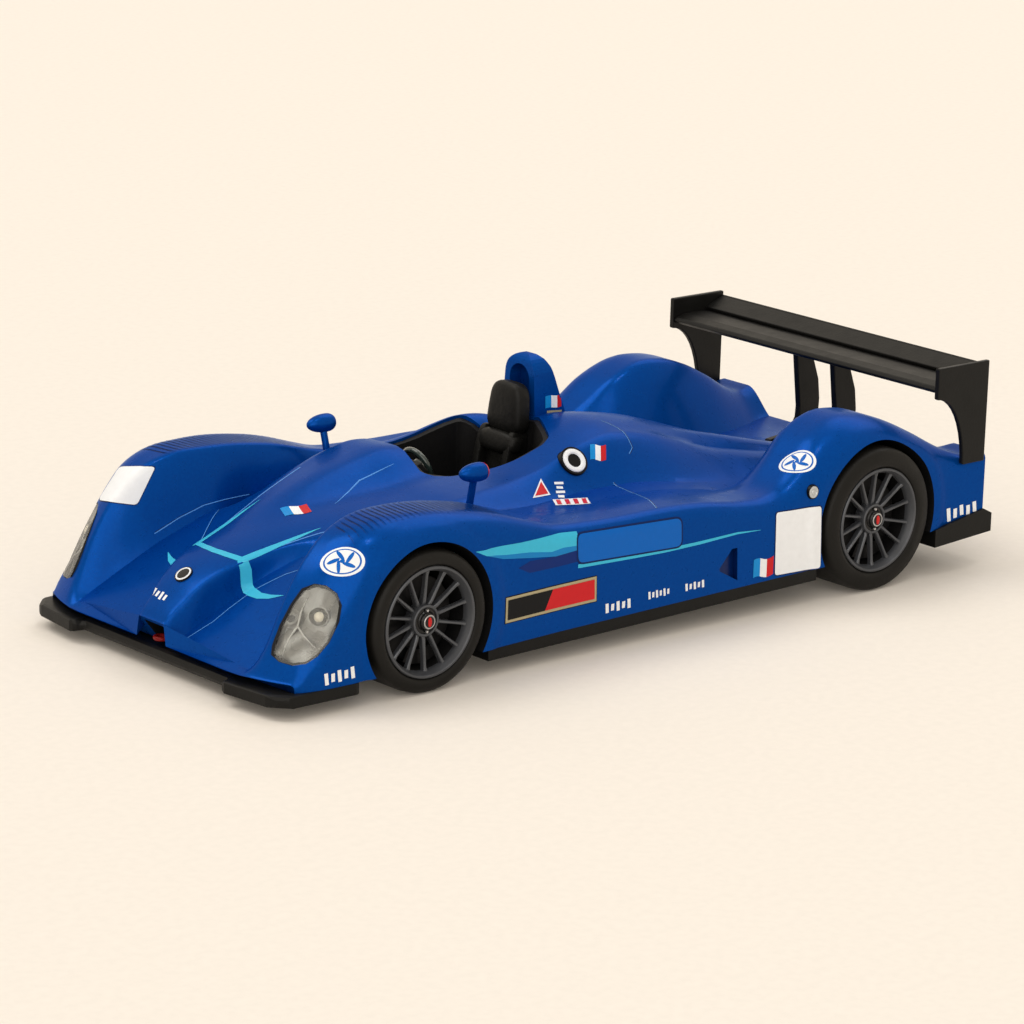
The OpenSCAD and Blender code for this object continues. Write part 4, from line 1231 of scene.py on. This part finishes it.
@dataclass
class Livery:
    """Stripes, blank plates, flags and panel gaps on the painted body.

    Attributes:
        body: The painted body that carries them.
    """

    body: BodyShell

    def put(self, name: str, outline: Sequence[Flat], key: str, sheet: Sheet, lift: float = 0.03,
            skin: NodeSkin | None = None) -> None:
        """Lays one marking on the body or on a CAD node's skin."""
        Marking(name, outline, key, sheet, lift).build(skin or self.body)

    def drape(self, name: str, path: Sequence[Sequence[float]], widths: Sequence[float] | float, key: str,
              lift: float = 0.03) -> None:
        """Drapes one ribbon."""
        Ribbon(name, path, widths, key, lift).build(self.body)

    def sides(self) -> None:
        """Lays what both flanks carry: the band, the plates and the thin line."""
        for sheet, word in ((LEFT, "left"), (RIGHT, "right")):
            band = [(26.8, 14.55), (25.8, 14.5), (23.0, 14.5), (20.2, 14.4), (16.7, 14.4), (14.3, 14.4), (11.8, 14.2),
                    (11.8, 12.7), (13.9, 12.8), (15.6, 12.6), (18.8, 13.1), (22.3, 13.4), (25.2, 13.8)]
            self.put(f"band_{word}", band, "turquoise", sheet)
            shade = [(25.2, 13.8), (22.3, 13.4), (18.8, 13.1), (15.6, 12.6), (13.9, 12.8), (11.8, 12.7),
                     (11.8, 12.2), (15.0, 12.0), (19.0, 12.5), (22.6, 13.0)]
            self.put(f"band_shade_{word}", shade, "teal", sheet, 0.032)
            # A darker navy patch laid under the band.
            navy_under_band = [(20.4, 11.6), (18.7, 12.1), (15.6, 12.0), (13.6, 12.2), (11.7, 12.3), (11.7, 10.9),
                      (14.4, 10.8), (18.7, 10.8)]
            self.put(f"swoosh_{word}", navy_under_band, "navy", sheet, 0.02)
            line = [(11.7, 10.35), (4.1, 10.15), (-1.0, 10.05), (-6.2, 10.1), (-12.0, 10.3), (-15.6, 10.1)]
            self.put(f"thin_line_{word}", stripe(line, [0.42, 0.42, 0.42, 0.36, 0.24, 0.05]), "turquoise", sheet)
            panel = [(11.9, 13.9), (11.7, 10.7), (-3.5, 10.2), (-3.3, 13.4)]
            self.put(f"name_panel_edge_{word}", fillet(grow(panel, 0.2), 0.95), "line", sheet, 0.035)
            self.put(f"name_panel_{word}", fillet(panel, 0.8), "azure", sheet, 0.05)
            framed = [(22.1, 8.6), (22.1, 5.8), (8.9, 6.0), (9.0, 8.8)]
            self.put(f"split_panel_rim_{word}", grow(framed, 0.1), "black", sheet, 0.03)
            self.put(f"split_panel_frame_{word}", framed, "sand", sheet, 0.06)
            inner = grow(framed, -0.3)
            self.put(f"split_panel_black_{word}", [inner[0], inner[1], (16.4, 6.2), (15.3, 8.4)], "black", sheet, 0.1)
            self.put(f"split_panel_red_{word}", [(15.3, 8.4), (16.4, 6.2), inner[2], inner[3]], "red", sheet, 0.1)
            plate = [(-17.9, 11.7), (-18.1, 4.4), (-25.1, 4.2), (-24.8, 11.5)]
            self.put(f"plate_edge_{word}", fillet(grow(plate, 0.12), 0.5), "line", sheet, 0.035)
            self.put(f"plate_{word}", fillet(plate, 0.45), "white", sheet, 0.05)
            self.flag(f"flag_{word}", sheet, (-14.7, 6.7), (-17.8, 4.6))

    def flag(self, name: str, sheet: Sheet, high: Flat, low: Flat, wave: float = 0.16,
             skin: NodeSkin | None = None) -> None:
        """Lays three upright stripes, blue, white and red, that wave a little.

        Args:
            name: The piece's name.
            sheet: The plane that the flag is drawn on.
            high: The corner over the blue stripe.
            low: The corner under the red stripe.
            wave: Height of the wave.
            skin: The CAD node that carries it, or None for the body.
        """
        def edge(k: float, base: float) -> Flat:
            """Returns a point of the top or bottom edge, k stripes along."""
            return high[0] + (low[0] - high[0]) * k / 3, base + wave * math.sin(k * 2.1 + 0.4)
        for k, key in enumerate(("cyan", "white", "red")):
            steps = [k, k + 0.33, k + 0.67, k + 1]
            outline = [edge(t, high[1]) for t in steps] + [edge(t, low[1]) for t in reversed(steps)]
            self.put(f"{name}_{key}", outline, key, sheet, 0.04, skin)

    def nose(self) -> None:
        """Drapes the forked band over the nose and down both its flanks, and a painted highlight along each crease."""
        cross = [(43.1, 4.1), (43.6, 2.0), (43.8, 0.0), (43.6, -2.0), (43.1, -4.1)]
        self.drape("nose_cross_band", cross, [0.8, 0.8, 0.75, 0.7, 0.65], "turquoise")
        for side in (1, -1):
            word = "left" if side > 0 else "right"
            back = [(43.1, 4.0 * side), (41.6, 4.3 * side), (39.2, 4.7 * side), (36.2, 5.1 * side), (33.6, 5.3 * side)]
            self.drape(f"nose_back_band_{word}", back, [1.0, 1.0, 0.75, 0.45, 0.05], "turquoise", 0.032)
            # A pale line along each crease of the nose: a painted highlight.
            crest = [(43.4, 3.9 * side), (39.0, 5.0 * side), (34.5, 6.0 * side), (30.0, 7.0 * side), (26.0, 8.0 * side)]
            self.drape(f"nose_crease_{word}", crest, 0.16, "edge", 0.02)
            down = [(43.2, 4.0 * side, 12.0), (43.1, 4.5 * side, 10.9), (43.2, 4.8 * side, 10.0),
                    (43.4, 5.4 * side, 9.1), (43.5, 6.4 * side, 8.9)]
            self.drape(f"nose_fork_band_{word}", down, [1.1, 1.3, 1.3, 1.3, 1.0], "turquoise", 0.034)
            tip = [(43.4, 6.0 * side, 8.9), (43.5, 7.4 * side, 8.9), (43.1, 8.8 * side, 9.0), (42.4, 10.2 * side, 9.4)]
            self.drape(f"nose_tip_band_{word}", tip, [1.2, 0.9, 0.6, 0.05], "turquoise", 0.036)

    def rosette(self, name: str, sheet: Sheet, size: Flat) -> None:
        """Lays a white oval with a plain blue ring and a five-bladed ornament."""
        self.put(f"{name}_oval", oval((0, 0), size), "white", sheet, 0.03)
        outer, inner = [s * 0.86 for s in size], [s * 0.78 for s in size]
        self.put(f"{name}_ring", oval((0, 0), outer), "azure", sheet, 0.04)
        self.put(f"{name}_field", oval((0, 0), inner), "white", sheet, 0.05)
        for k in range(5):
            a = 2 * math.pi * k / 5 + 0.5
            middle = (0.2 * size[0] * math.cos(a), 0.2 * size[1] * math.sin(a))
            petal = oval(middle, (0.3 * size[0], 0.13 * size[1]), math.degrees(a) + 24, 20)
            self.put(f"{name}_petal_{k}", petal, "azure", sheet, 0.07)
        self.put(f"{name}_eye", oval((0, 0), (size[0] * 0.12, size[1] * 0.12)), "azure", sheet, 0.07)

    def hatch(self, name: str, spot: Point, size: Flat, tilt: float = 12.0, count: int = 5) -> None:
        """Lays a row of slanting white strokes, a plain ornament.

        Args:
            name: The piece's name.
            spot: A point of the skin at the row's middle.
            size: The row's length and height.
            tilt: Degrees by which the row rises.
            count: How many strokes.
        """
        sheet = Sheet.turned(spot, 48.8, 15.1, 1, 1.7 + tilt)
        step, half = size[0] / count, size[1] / 2
        strokes = []
        for k in range(count):
            a = -size[0] / 2 + k * step
            tall = half * (1.0 if k % 2 == 0 else 0.7)
            outline = [(a, -tall), (a + step * 0.55, -tall), (a + step * 0.85, tall), (a + step * 0.3, tall)]
            strokes.append(Marking(name, outline, "white", sheet, 0.035).lay(self.body))
        settle(swept(merge(name, strokes, "white", 60)), CHASSIS)

    def badges(self) -> None:
        """Lays the plates and oval badges on the fenders and the small signs by the driver."""
        self.rosette("badge_front_left", Sheet.turned((42.7, 20.3, 15.5), 41, 49, 1, 8), (4.7, 3.1))
        self.rosette("badge_rear_left", Sheet.turned((-23.3, 19.8, 16.3), 24, 52, 1, 24), (4.3, 3.2))
        plate = Sheet.turned((43.8, -16.1, 15.7), 48.8, 15.1, 1, 1.7)
        outline = [(-3.3, -1.6), (-1.0, 2.25), (3.3, 2.25), (1.25, -2.15)]
        self.put("plate_fender_edge_right", fillet(outline, 0.5), "line", plate, 0.03)
        self.put("plate_fender_right", fillet([(x * 0.95, y * 0.95) for x, y in outline], 0.45), "white", plate, 0.1)
        self.flag("flag_cowl", Sheet.turned((33.0, 0.2, 14.9), 62, 72, 1, 8), (-1.5, 0.95), (1.5, -0.95))
        sign = Sheet.turned((5.7, 9.2, 15.0), 48.8, 15.1, 1, 1.7)
        corners_of = [(-0.95, -0.84), (1.01, -0.47), (-0.05, 1.32)]
        self.put("sign_triangle_edge", corners_of, "white", sign)
        self.put("sign_triangle", [(x * 0.74, y * 0.74) for x, y in corners_of], "red", sign, 0.06)
        deck = Sheet.turned((3.9, 12.2, 14.1), 60, 84, 1, 4)
        self.put("sign_striped", [(-2.1, -1.25), (1.9, -1.25), (2.2, 1.25), (-1.8, 1.25)], "white", deck)
        for k in range(4):
            a = -1.8 + k * 0.98
            self.put(f"sign_stripe_{k}", [(a, -1.0), (a + 0.5, -1.0), (a + 0.8, 1.0), (a + 0.3, 1.0)], "red", deck, 0.06)
        flank = Sheet.turned((-4.2, 7.4, 17.5), 48.8, 15.1, 1, 1.7)
        self.flag("flag_flank", flank, (-0.9, 0.85), (0.9, -0.85), 0.1)
        self.hatch("hatch_nose", (50.1, -1.2, 8.0), (1.9, 0.9), -24.0, 4)
        self.hatch("hatch_fender", (44.4, 22.4, 4.0), (3.4, 1.2), 14.0)
        self.hatch("hatch_door_front", (5.6, 22.3, 4.9), (3.1, 1.0))
        self.hatch("hatch_door_middle", (-0.4, 22.3, 5.3), (2.6, 0.8), 12.0, 6)
        self.hatch("hatch_door_rear", (-5.8, 22.3, 5.3), (2.4, 0.8))
        self.hatch("hatch_tail", (-48.3, 22.3, 7.2), (4.2, 1.5), 14.0)
        self.hatch("hatch_cowl", (3.1, 9.4, 14.7), (2.0, 1.0), -80.0, 4)
        hoop = NodeSkin("roll_hoop")
        self.flag("flag_hoop", LEFT, (-6.62, 21.2), (-9.35, 19.8), 0.08, hoop)
        self.put("hoop_bar", [(-6.85, 19.55), (-9.1, 19.35), (-9.1, 18.98), (-6.85, 19.18)], "sand", LEFT, 0.04, hoop)

    def gaps(self) -> None:
        """Draws the gaps between the body's panels and the light that their edges catch."""
        lines = {
            "nose": ((1, -1), [(51.0, 3.6), (47.6, 5.0), (45.7, 5.3), (43.2, 6.0), (39.9, 7.6), (34.6, 11.2)]),
            "fender": ((-1,), [(41.6, 13.6), (38.6, 13.1), (35.5, 12.8), (32.7, 12.8), (29.0, 13.1)]),
            "tail": ((1,), [(-4.8, 9.6), (-4.6, 13.6), (-2.8, 17.6), (-1.0, 20.8)]),
            "tail_far": ((-1,), [(-2.3, 15.8), (-2.4, 18.0), (-2.6, 20.6)]),
            "cover": ((1,), [(-9.0, 2.6), (-9.8, 4.5), (-9.7, 6.2), (-9.6, 7.3), (-8.7, 7.8)]),
        }
        for name, (sides, path) in lines.items():
            for side in sides:
                word = "left" if side > 0 else "right"
                line = [(x, y * side) for x, y in path]
                self.drape(f"gap_{name}_{word}", line, 0.13, "line", 0.02)
                # A pale band beside each gap: a painted highlight on the panel's edge.
                self.drape(f"gap_edge_{name}_{word}", [(x + 0.12, y) for x, y in line], 0.1, "edge", 0.024)
        # A pale line along the fold of the hump ahead of the driver: a painted highlight.
        fold = [(28.7, 1.5), (26.0, 0.2), (23.4, -0.9), (20.6, -1.2), (18.1, -1.4)]
        self.drape("cowl_fold_highlight", fold, [0.04, 0.12, 0.16, 0.12, 0.04], "edge", 0.02)

    def louvres(self, count: int = 26) -> None:
        """Draws the slats over each front wheel as raised ribs with dark slits behind them, painted shade in the
        openings.
        """
        for side, first in ((1, 40.6), (-1, 38.6)):
            word = "left" if side > 0 else "right"
            slits, ribs = [], []
            for k in range(count):
                x = first - k * 0.78
                inner = curve(self.body.ROWS, 3, x) - 0.2
                outer = 20.4
                path = [(x + 0.5 * t, (inner + (outer - inner) * t) * side) for t in (0, 0.25, 0.5, 0.75, 1)]
                # Dark lines in the gaps between the ribs: painted shade in the openings.
                slits.append(Ribbon("slit", path, [0.02, 0.08, 0.1, 0.08, 0.02], "line", 0.02, 0.6).lay(self.body))
                rib = [(px - 0.24, py) for px, py in path]
                ribs.append(Ribbon("rib", rib, [0.03, 0.26, 0.3, 0.26, 0.03], "blue", 0.06, 0.6).lay(self.body))
            settle(merge(f"louvre_slits_{word}", slits, "line", 60), CHASSIS)
            settle(merge(f"louvre_ribs_{word}", ribs, "blue", 60), CHASSIS)

    def build(self) -> None:
        """Lays every marking."""
        self.sides()
        self.nose()
        self.badges()
        self.gaps()
        self.louvres()


# Wheels


@dataclass
class Wheel:
    """One wheel with its tyre, rim, hub and brake.

    Attributes:
        end: "front" or "rear".
        side: The car's side.
        place: Place along the car and height of the axle.
        outer_y: The tyre's outer face, from the car's middle.
        radius: The tyre's radius.
        width: The tyre's width.
        rim_radius: Radius of the rim's flange.
        spokes: How many spokes.
    """

    end: str
    side: Side
    place: Flat
    outer_y: float
    radius: float
    width: float
    rim_radius: float = 6.1
    spokes: int = 14

    def matrix(self) -> Matrix:
        """Returns the matrix that sets the wheel on its axle."""
        return Matrix.Diagonal((1, self.side.value, 1, 1)) @ Matrix.Translation((self.place[0], self.outer_y, self.place[1]))

    def tyre(self) -> tuple:
        """Returns the tyre, turned from its section."""
        r, w, f = self.radius, self.width, self.rim_radius
        half = [(f, -0.45), (f + 0.1, -0.2), (f + 0.3, -0.06), (f + 0.55, 0.0), (f + 0.95, -0.03), (r - 0.42, -0.16),
                (r - 0.2, -0.36), (r - 0.08, -0.65), (r - 0.02, -1.05), (r, -1.6)]
        other = [(a, -w - b) for a, b in reversed(half)]
        return revolve(half + other, 120)

    def rim(self) -> tuple:
        """Returns the rim's flange."""
        f = self.rim_radius
        return revolve([(f, -0.5), (f - 0.02, -0.16), (f - 0.12, -0.06), (f - 0.3, -0.06), (f - 0.42, -0.2),
                        (f - 0.5, -0.55), (f - 0.66, -0.75), (f - 0.68, -1.3), (f - 0.2, -1.4)], 120)

    def barrel(self) -> tuple:
        """Returns the rim's dark barrel behind the flange."""
        f, w = self.rim_radius, self.width
        return revolve([(f - 0.02, -1.3), (f - 0.66, -1.3), (f - 0.75, -2.2), (f - 0.75, 0.4 - w), (f - 0.3, 0.3 - w),
                        (f, 0.3 - w)], 120)

    def spoke(self, angle: float) -> tuple:
        """Returns one bevelled spoke that rises slightly towards the rim."""
        stations = ((1.35, -1.35, 0.50, 0.9), (2.2, -1.12, 0.38, 0.75), (3.8, -0.98, 0.32, 0.6), (5.0, -0.86, 0.34, 0.6),
                    (5.55, -0.7, 0.5, 0.7))
        points: list[Point] = []
        for r, face, width, depth in stations:
            w = width / 2
            ring = [(-w, -depth), (-w, -0.12), (-w * 0.55, 0.0), (w * 0.55, 0.0), (w, -0.12), (w, -depth)]
            points += [(r, face + d, s) for s, d in ring]
        k, n = 6, len(stations)
        faces = [(i * k + j, (i + 1) * k + j, (i + 1) * k + (j + 1) % k, i * k + (j + 1) % k)
                 for i in range(n - 1) for j in range(k)]
        faces += [tuple(range(k)), tuple((n - 1) * k + j for j in range(k - 1, -1, -1))]
        return moved((points, faces), Matrix.Rotation(angle, 4, "Y"))

    def hub(self) -> tuple:
        """Returns the hub between the spokes."""
        return revolve([(0.0, -1.15), (1.38, -1.15), (1.46, -0.86), (1.58, -0.8), (1.72, -0.88), (1.78, -1.1),
                        (1.7, -2.4), (0.0, -2.4)], 64, closed=False)

    def build(self) -> None:
        """Builds the wheel's pieces and lets them turn with their axle."""
        name, body = f"{self.end}_{self.side.name.lower()}", f"{self.end}_axle"
        m = self.matrix()
        settle(solid(merge(f"tyre_rubber_{name}", [moved(self.tyre(), m)], "tyre", 50)), body, f"tyre_{name}")
        settle(solid(merge(f"rim_ring_{name}", [moved(self.rim(), m)], "rim")), body, f"rim_{name}")
        settle(solid(merge(f"rim_barrel_{name}", [moved(self.barrel(), m)], "well")), body)
        arms = [moved(self.spoke(2 * math.pi * (k + 0.5) / self.spokes), m) for k in range(self.spokes)]
        settle(solid(merge(f"spokes_{name}", arms + [moved(self.hub(), m)], "spoke", 30)), body)
        nut = revolve([(0.0, -0.28), (0.3, -0.28), (0.62, -0.34), (0.86, -0.45), (0.98, -0.62), (1.02, -0.95),
                       (1.38, -1.0), (1.38, -1.12), (0.0, -1.12)], 40, closed=False)
        settle(solid(merge(f"wheel_nut_{name}", [moved(nut, m)], "hub")), body)
        studs = []
        for angle in (90, 270):
            c, s = 1.16 * math.cos(math.radians(angle)), 1.16 * math.sin(math.radians(angle))
            stud = revolve([(0.0, -0.62), (0.14, -0.66), (0.2, -0.8), (0.0, -0.8)], 16, closed=False)
            studs.append(moved(stud, m @ Matrix.Translation((c, 0, s))))
        ring = revolve([(0.62, -0.3), (0.7, -0.27), (0.78, -0.32), (0.78, -0.42), (0.62, -0.42)], 32)
        settle(solid(merge(f"wheel_studs_{name}", studs + [moved(ring, m)], "steel")), body)
        cap = revolve([(0.0, -0.2), (0.2, -0.2), (0.3, -0.24), (0.32, -0.32), (0.0, -0.32)], 24, closed=False)
        flat = Matrix.Diagonal((0.8, 1, 1.7, 1))
        settle(solid(merge(f"wheel_cap_{name}", [moved(cap, m @ flat)], "red_plastic")), body)
        caliper = revolve([(3.3, -1.95), (4.9, -1.95), (4.9, -3.4), (3.3, -3.4)], 40)
        part = ([p for p in caliper[0]], [f for i, f in enumerate(caliper[1]) if 26 * 4 <= i < 33 * 4])
        settle(solid(merge(f"caliper_{name}", [moved(part, m)], "disc")), body)


# Smaller pieces


@dataclass
class WingGroup:
    """The rear wing, its end plates and its two struts."""

    round_mm: float = 0.14

    def build(self) -> None:
        """Dresses the wing's pieces."""
        for node in ("wing", "end_plate_left", "end_plate_right", "strut_left", "strut_right"):
            dress(node, "wing", self.round_mm)


@dataclass
class Trim:
    """Mirrors, filler caps, lights, hoop and underside."""

    def build(self) -> None:
        """Dresses the remaining CAD pieces and adds their small parts."""
        for node, key, width in (
            ("floor_pan", "splitter", 0.12), ("splitter", "splitter", 0.55), ("diffuser", "splitter", 0.2),
            ("roll_hoop", "blue", 0.4), ("nose_lens", "black", 0.08), ("filler_caps", "black", 0.1), ("tow_eye", "tow", 0.05),
            ("tail_lights", "red_plastic", 0.12), ("axle_front", "steel", 0.0), ("axle_rear", "steel", 0.0),
            ("nuts_front", "hub", 0.0), ("nuts_rear", "hub", 0.0), ("brakes_front", "disc", 0.1),
            ("brakes_rear", "disc", 0.1),
        ):
            dress(node, key, width)
        self.filler()
        self.lens()
        for side in (1, -1):
            word = "left" if side > 0 else "right"
            ring = revolve([(0.0, 22.58), (0.26, 22.58), (0.32, 22.51), (0.42, 22.51), (0.48, 22.58), (0.66, 22.56),
                            (0.74, 22.4), (0.0, 22.4)], 40, closed=False)
            place = Matrix.Diagonal((1, side, 1, 1)) @ Matrix.Translation((-23.5, 0, 13.3))
            settle(solid(merge(f"fastener_face_{word}", [moved(ring, place)], "cap_grey")), CHASSIS)
        for side in Side:
            self.mirror(side)

    @staticmethod
    def filler_seat() -> Matrix:
        """Returns the matrix that stands a piece turned about Y on the fuel filler's seat."""
        return (Matrix.Translation((-0.5, 6.1, 15.9)) @ Matrix.Rotation(math.radians(6), 4, "Y")
                @ Matrix.Rotation(math.radians(-51), 4, "X") @ Matrix.Rotation(math.radians(90), 4, "X"))

    def mirror(self, side: Side) -> None:
        """Builds one mirror: a smooth head on a slanted arm, with a red tip on the left one."""
        def girth(s: float) -> float:
            """Returns the head's radius at a place along it, from -2.1 ahead to 1.7 behind."""
            if s < 0.3:
                return 1.05 * math.sqrt(max(0.0, 1 - ((0.3 - s) / 2.4) ** 2))
            return 1.05 * max(0.0, 1 - ((s - 0.3) / 1.4) ** 3) ** 0.4545

        name = side.name.lower()
        flip = Matrix.Diagonal((1, side.value, 1, 1))
        place = flip @ Matrix.Translation((18.9, 13.2, 19.9)) @ Matrix.Rotation(math.radians(90), 4, "Z")
        head = revolve([(girth(-0.2 - 1.9 * math.cos(math.pi * k / 24)), -0.2 - 1.9 * math.cos(math.pi * k / 24))
                        for k in range(25)], 48, closed=False)
        foot, top = Vector((18.6, 11.6, 13.4)), Vector((18.9, 13.2, 19.9))
        turn = Vector((0, 1, 0)).rotation_difference(top - foot).to_matrix().to_4x4()
        arm = revolve([(0.0, 0.0), (0.4, 0.0), (0.4, (top - foot).length - 0.3), (0.0, (top - foot).length - 0.3)],
                      24, closed=False)
        parts = [moved(head, place), moved(arm, flip @ Matrix.Translation(foot) @ turn)]
        settle(solid(merge(f"mirror_{name}_shell", parts, "blue")), CHASSIS, f"mirror_{name}")
        if side is Side.LEFT:
            rear = [1.15 + 0.55 * k / 6 for k in range(7)]
            tip = revolve([(0.0, 1.15)] + [(girth(s) + 0.03, s) for s in rear[:-1]] + [(0.0, 1.73)], 40, closed=False)
            settle(solid(merge("mirror_tip_left", [moved(tip, place)], "red_plastic")), CHASSIS)

    def lens(self) -> None:
        """Adds the light ring and dark glass of the nose lens."""
        seat = (Matrix.Translation((47.93, 0, 10.28)) @ Matrix.Rotation(math.radians(34), 4, "Y")
                @ Matrix.Rotation(math.radians(90), 4, "X"))
        ring = revolve([(0.7, -0.02), (0.76, 0.06), (0.88, 0.06), (0.94, -0.02)], 48)
        glass = revolve([(0.0, 0.05), (0.5, 0.04), (0.72, 0.02), (0.72, -0.02), (0.0, -0.02)], 48, closed=False)
        settle(solid(merge("nose_lens_ring", [moved(ring, seat)], "white")), CHASSIS)
        settle(solid(merge("nose_lens_glass", [moved(glass, seat)], "hub")), CHASSIS)

    def filler(self) -> None:
        """Adds the white ring and dark glass of the fuel filler."""
        seat = self.filler_seat()
        ring = revolve([(0.82, 2.16), (0.95, 2.3), (1.2, 2.34), (1.38, 2.28), (1.46, 2.14), (1.46, 2.0), (0.82, 2.0)], 64)
        glass = revolve([(0.0, 2.02), (0.5, 2.04), (0.82, 2.1), (0.82, 1.95), (0.0, 1.95)], 48, closed=False)
        settle(solid(merge("filler_ring", [moved(ring, seat)], "white")), CHASSIS)
        settle(solid(merge("filler_glass", [moved(glass, seat)], "hub")), CHASSIS)


# Studio


@dataclass
class Studio:
    """Pale floor, soft light and the camera at the photograph's place.

    Attributes:
        lens_mm: Focal length on a 36 mm sensor.
        camera_mm: The camera's place.
        yaw: Degrees from +X to the camera, about Z.
        pitch: Degrees that it looks down.
        roll: Degrees of roll.
        cream: Colour of the floor and backdrop.
    """

    lens_mm: float = 153.8
    camera_mm: Point = (315.85, 358.173, 138.784)
    yaw: float = 48.7586
    pitch: float = 15.1412
    roll: float = 1.7029
    cream: tuple = (1.0, 0.896, 0.753, 1.0)

    def camera(self) -> None:
        """Sets the camera."""
        yaw, pitch, roll = (math.radians(a) for a in (self.yaw, self.pitch, self.roll))
        ahead = Vector((-math.cos(yaw) * math.cos(pitch), -math.sin(yaw) * math.cos(pitch), -math.sin(pitch)))
        right = ahead.cross(Vector((0, 0, 1))).normalized()
        up = right.cross(ahead)
        tilted_right = right * math.cos(roll) + up * math.sin(roll)
        tilted_up = up * math.cos(roll) - right * math.sin(roll)
        data = bpy.data.cameras.new("camera")
        data.lens = self.lens_mm
        data.sensor_width = 36.0
        data.clip_start, data.clip_end = 0.01, 20.0
        obj = bpy.data.objects.new("camera", data)
        bpy.context.scene.collection.objects.link(obj)
        place = Vector(self.camera_mm) * MM
        columns = Matrix((tilted_right, tilted_up, -ahead)).transposed()
        obj.matrix_world = Matrix.Translation(place) @ columns.to_4x4()
        bpy.context.scene.camera = obj

    @staticmethod
    def seen(tree: bpy.types.NodeTree) -> bpy.types.NodeSocket:
        """Returns 1 for rays from the camera, a gloss or a clear piece, and 0 for the rest."""
        path = tree.nodes.new("ShaderNodeLightPath")
        last = path.outputs["Is Camera Ray"]
        for name in ("Is Glossy Ray", "Is Transmission Ray"):
            either = tree.nodes.new("ShaderNodeMath")
            either.operation = "MAXIMUM"
            tree.links.new(last, either.inputs[0])
            tree.links.new(path.outputs[name], either.inputs[1])
            last = either.outputs[0]
        return last

    def floor(self) -> None:
        """Makes the floor, which shows the backdrop's colour to the camera and keeps the shadows."""
        g = Graph("floor_cream")
        seen = self.seen(g.tree)
        speck = g.noise(900.0, 2.0)
        g.set(Base_Color=g.blend(g.span(speck, 0.0, 1.0), (0.848, 0.788, 0.706, 1.0), (0.878, 0.815, 0.731, 1.0)),
              Roughness=0.9, Emission_Color=self.cream)
        amount = g.add("ShaderNodeMath")
        amount.operation = "MULTIPLY"
        g.feed(amount.inputs[0], seen)
        amount.inputs[1].default_value = 0.04
        g.feed(g.shader.inputs["Emission Strength"], amount.outputs[0])
        mesh = bpy.data.meshes.new("floor")
        mesh.from_pydata([(-6, -6, 0), (6, -6, 0), (6, 6, 0), (-6, 6, 0)], [], [(0, 1, 2, 3)])
        obj = bpy.data.objects.new("floor", mesh)
        mesh.materials.append(g.material)
        bpy.context.scene.collection.objects.link(obj)

    def lights(self) -> None:
        """Sets the world and the soft lamps."""
        world = bpy.data.worlds.new("studio")
        bpy.context.scene.world = world
        world.use_nodes = True
        tree = world.node_tree
        back = tree.nodes["Background"]
        back.inputs["Color"].default_value = (1.0, 0.93, 0.84, 1.0)
        back.inputs["Strength"].default_value = 0.48
        plain = tree.nodes.new("ShaderNodeBackground")
        plain.inputs["Color"].default_value = self.cream
        plain.inputs["Strength"].default_value = 1.0
        mix = tree.nodes.new("ShaderNodeMixShader")
        tree.links.new(self.seen(tree), mix.inputs["Fac"])
        tree.links.new(back.outputs[0], mix.inputs[1])
        tree.links.new(plain.outputs[0], mix.inputs[2])
        tree.links.new(mix.outputs[0], tree.nodes["World Output"].inputs["Surface"])
        lamps = (
            ("key", 1.0, 38.0, (0.35, -0.35, 0.87), (1.0, 0.97, 0.93)),
            ("fill", 1.15, 60.0, (0.6, 0.66, 0.45), (1.0, 0.96, 0.92)),
            ("back", 0.45, 40.0, (-0.6, -0.2, 0.77), (0.97, 0.98, 1.0)),
            ("spark", 0.22, 8.0, (0.0, 0.25, 0.97), (1.0, 1.0, 1.0)),
        )
        for name, strength, angle, way, colour in lamps:
            data = bpy.data.lights.new(name, "SUN")
            data.energy = strength
            data.angle = math.radians(angle)
            data.color = colour
            lamp = bpy.data.objects.new(name, data)
            lamp.rotation_mode = "QUATERNION"
            lamp.rotation_quaternion = Vector(way).to_track_quat("Z", "Y")
            bpy.context.scene.collection.objects.link(lamp)

    def build(self) -> None:
        """Sets up the whole studio."""
        bpy.context.scene.view_settings.view_transform = "Standard"
        self.camera()
        self.floor()
        self.lights()


def corners(box: tuple[Vector, Vector]) -> list[list[float]]:
    """Returns a box as plain lists."""
    return [list(box[0]), list(box[1])]


def main() -> None:
    """Builds the car's finish and the studio."""
    logging.basicConfig(level=logging.INFO, format="%(name)s: %(message)s")
    random.seed(7)
    Studio().build()
    body = BodyShell()
    body.build()
    Cockpit().build()
    for side in Side:
        Headlamp(side).build()
        Wheel("front", side, body.front_axle, 23.0, 7.8, 7.4).build()
        Wheel("rear", side, body.rear_axle, 22.8, 8.4, 8.0).build()
    WingGroup().build()
    Trim().build()
    Livery(body).build()


if __name__ == "__main__":
    main()
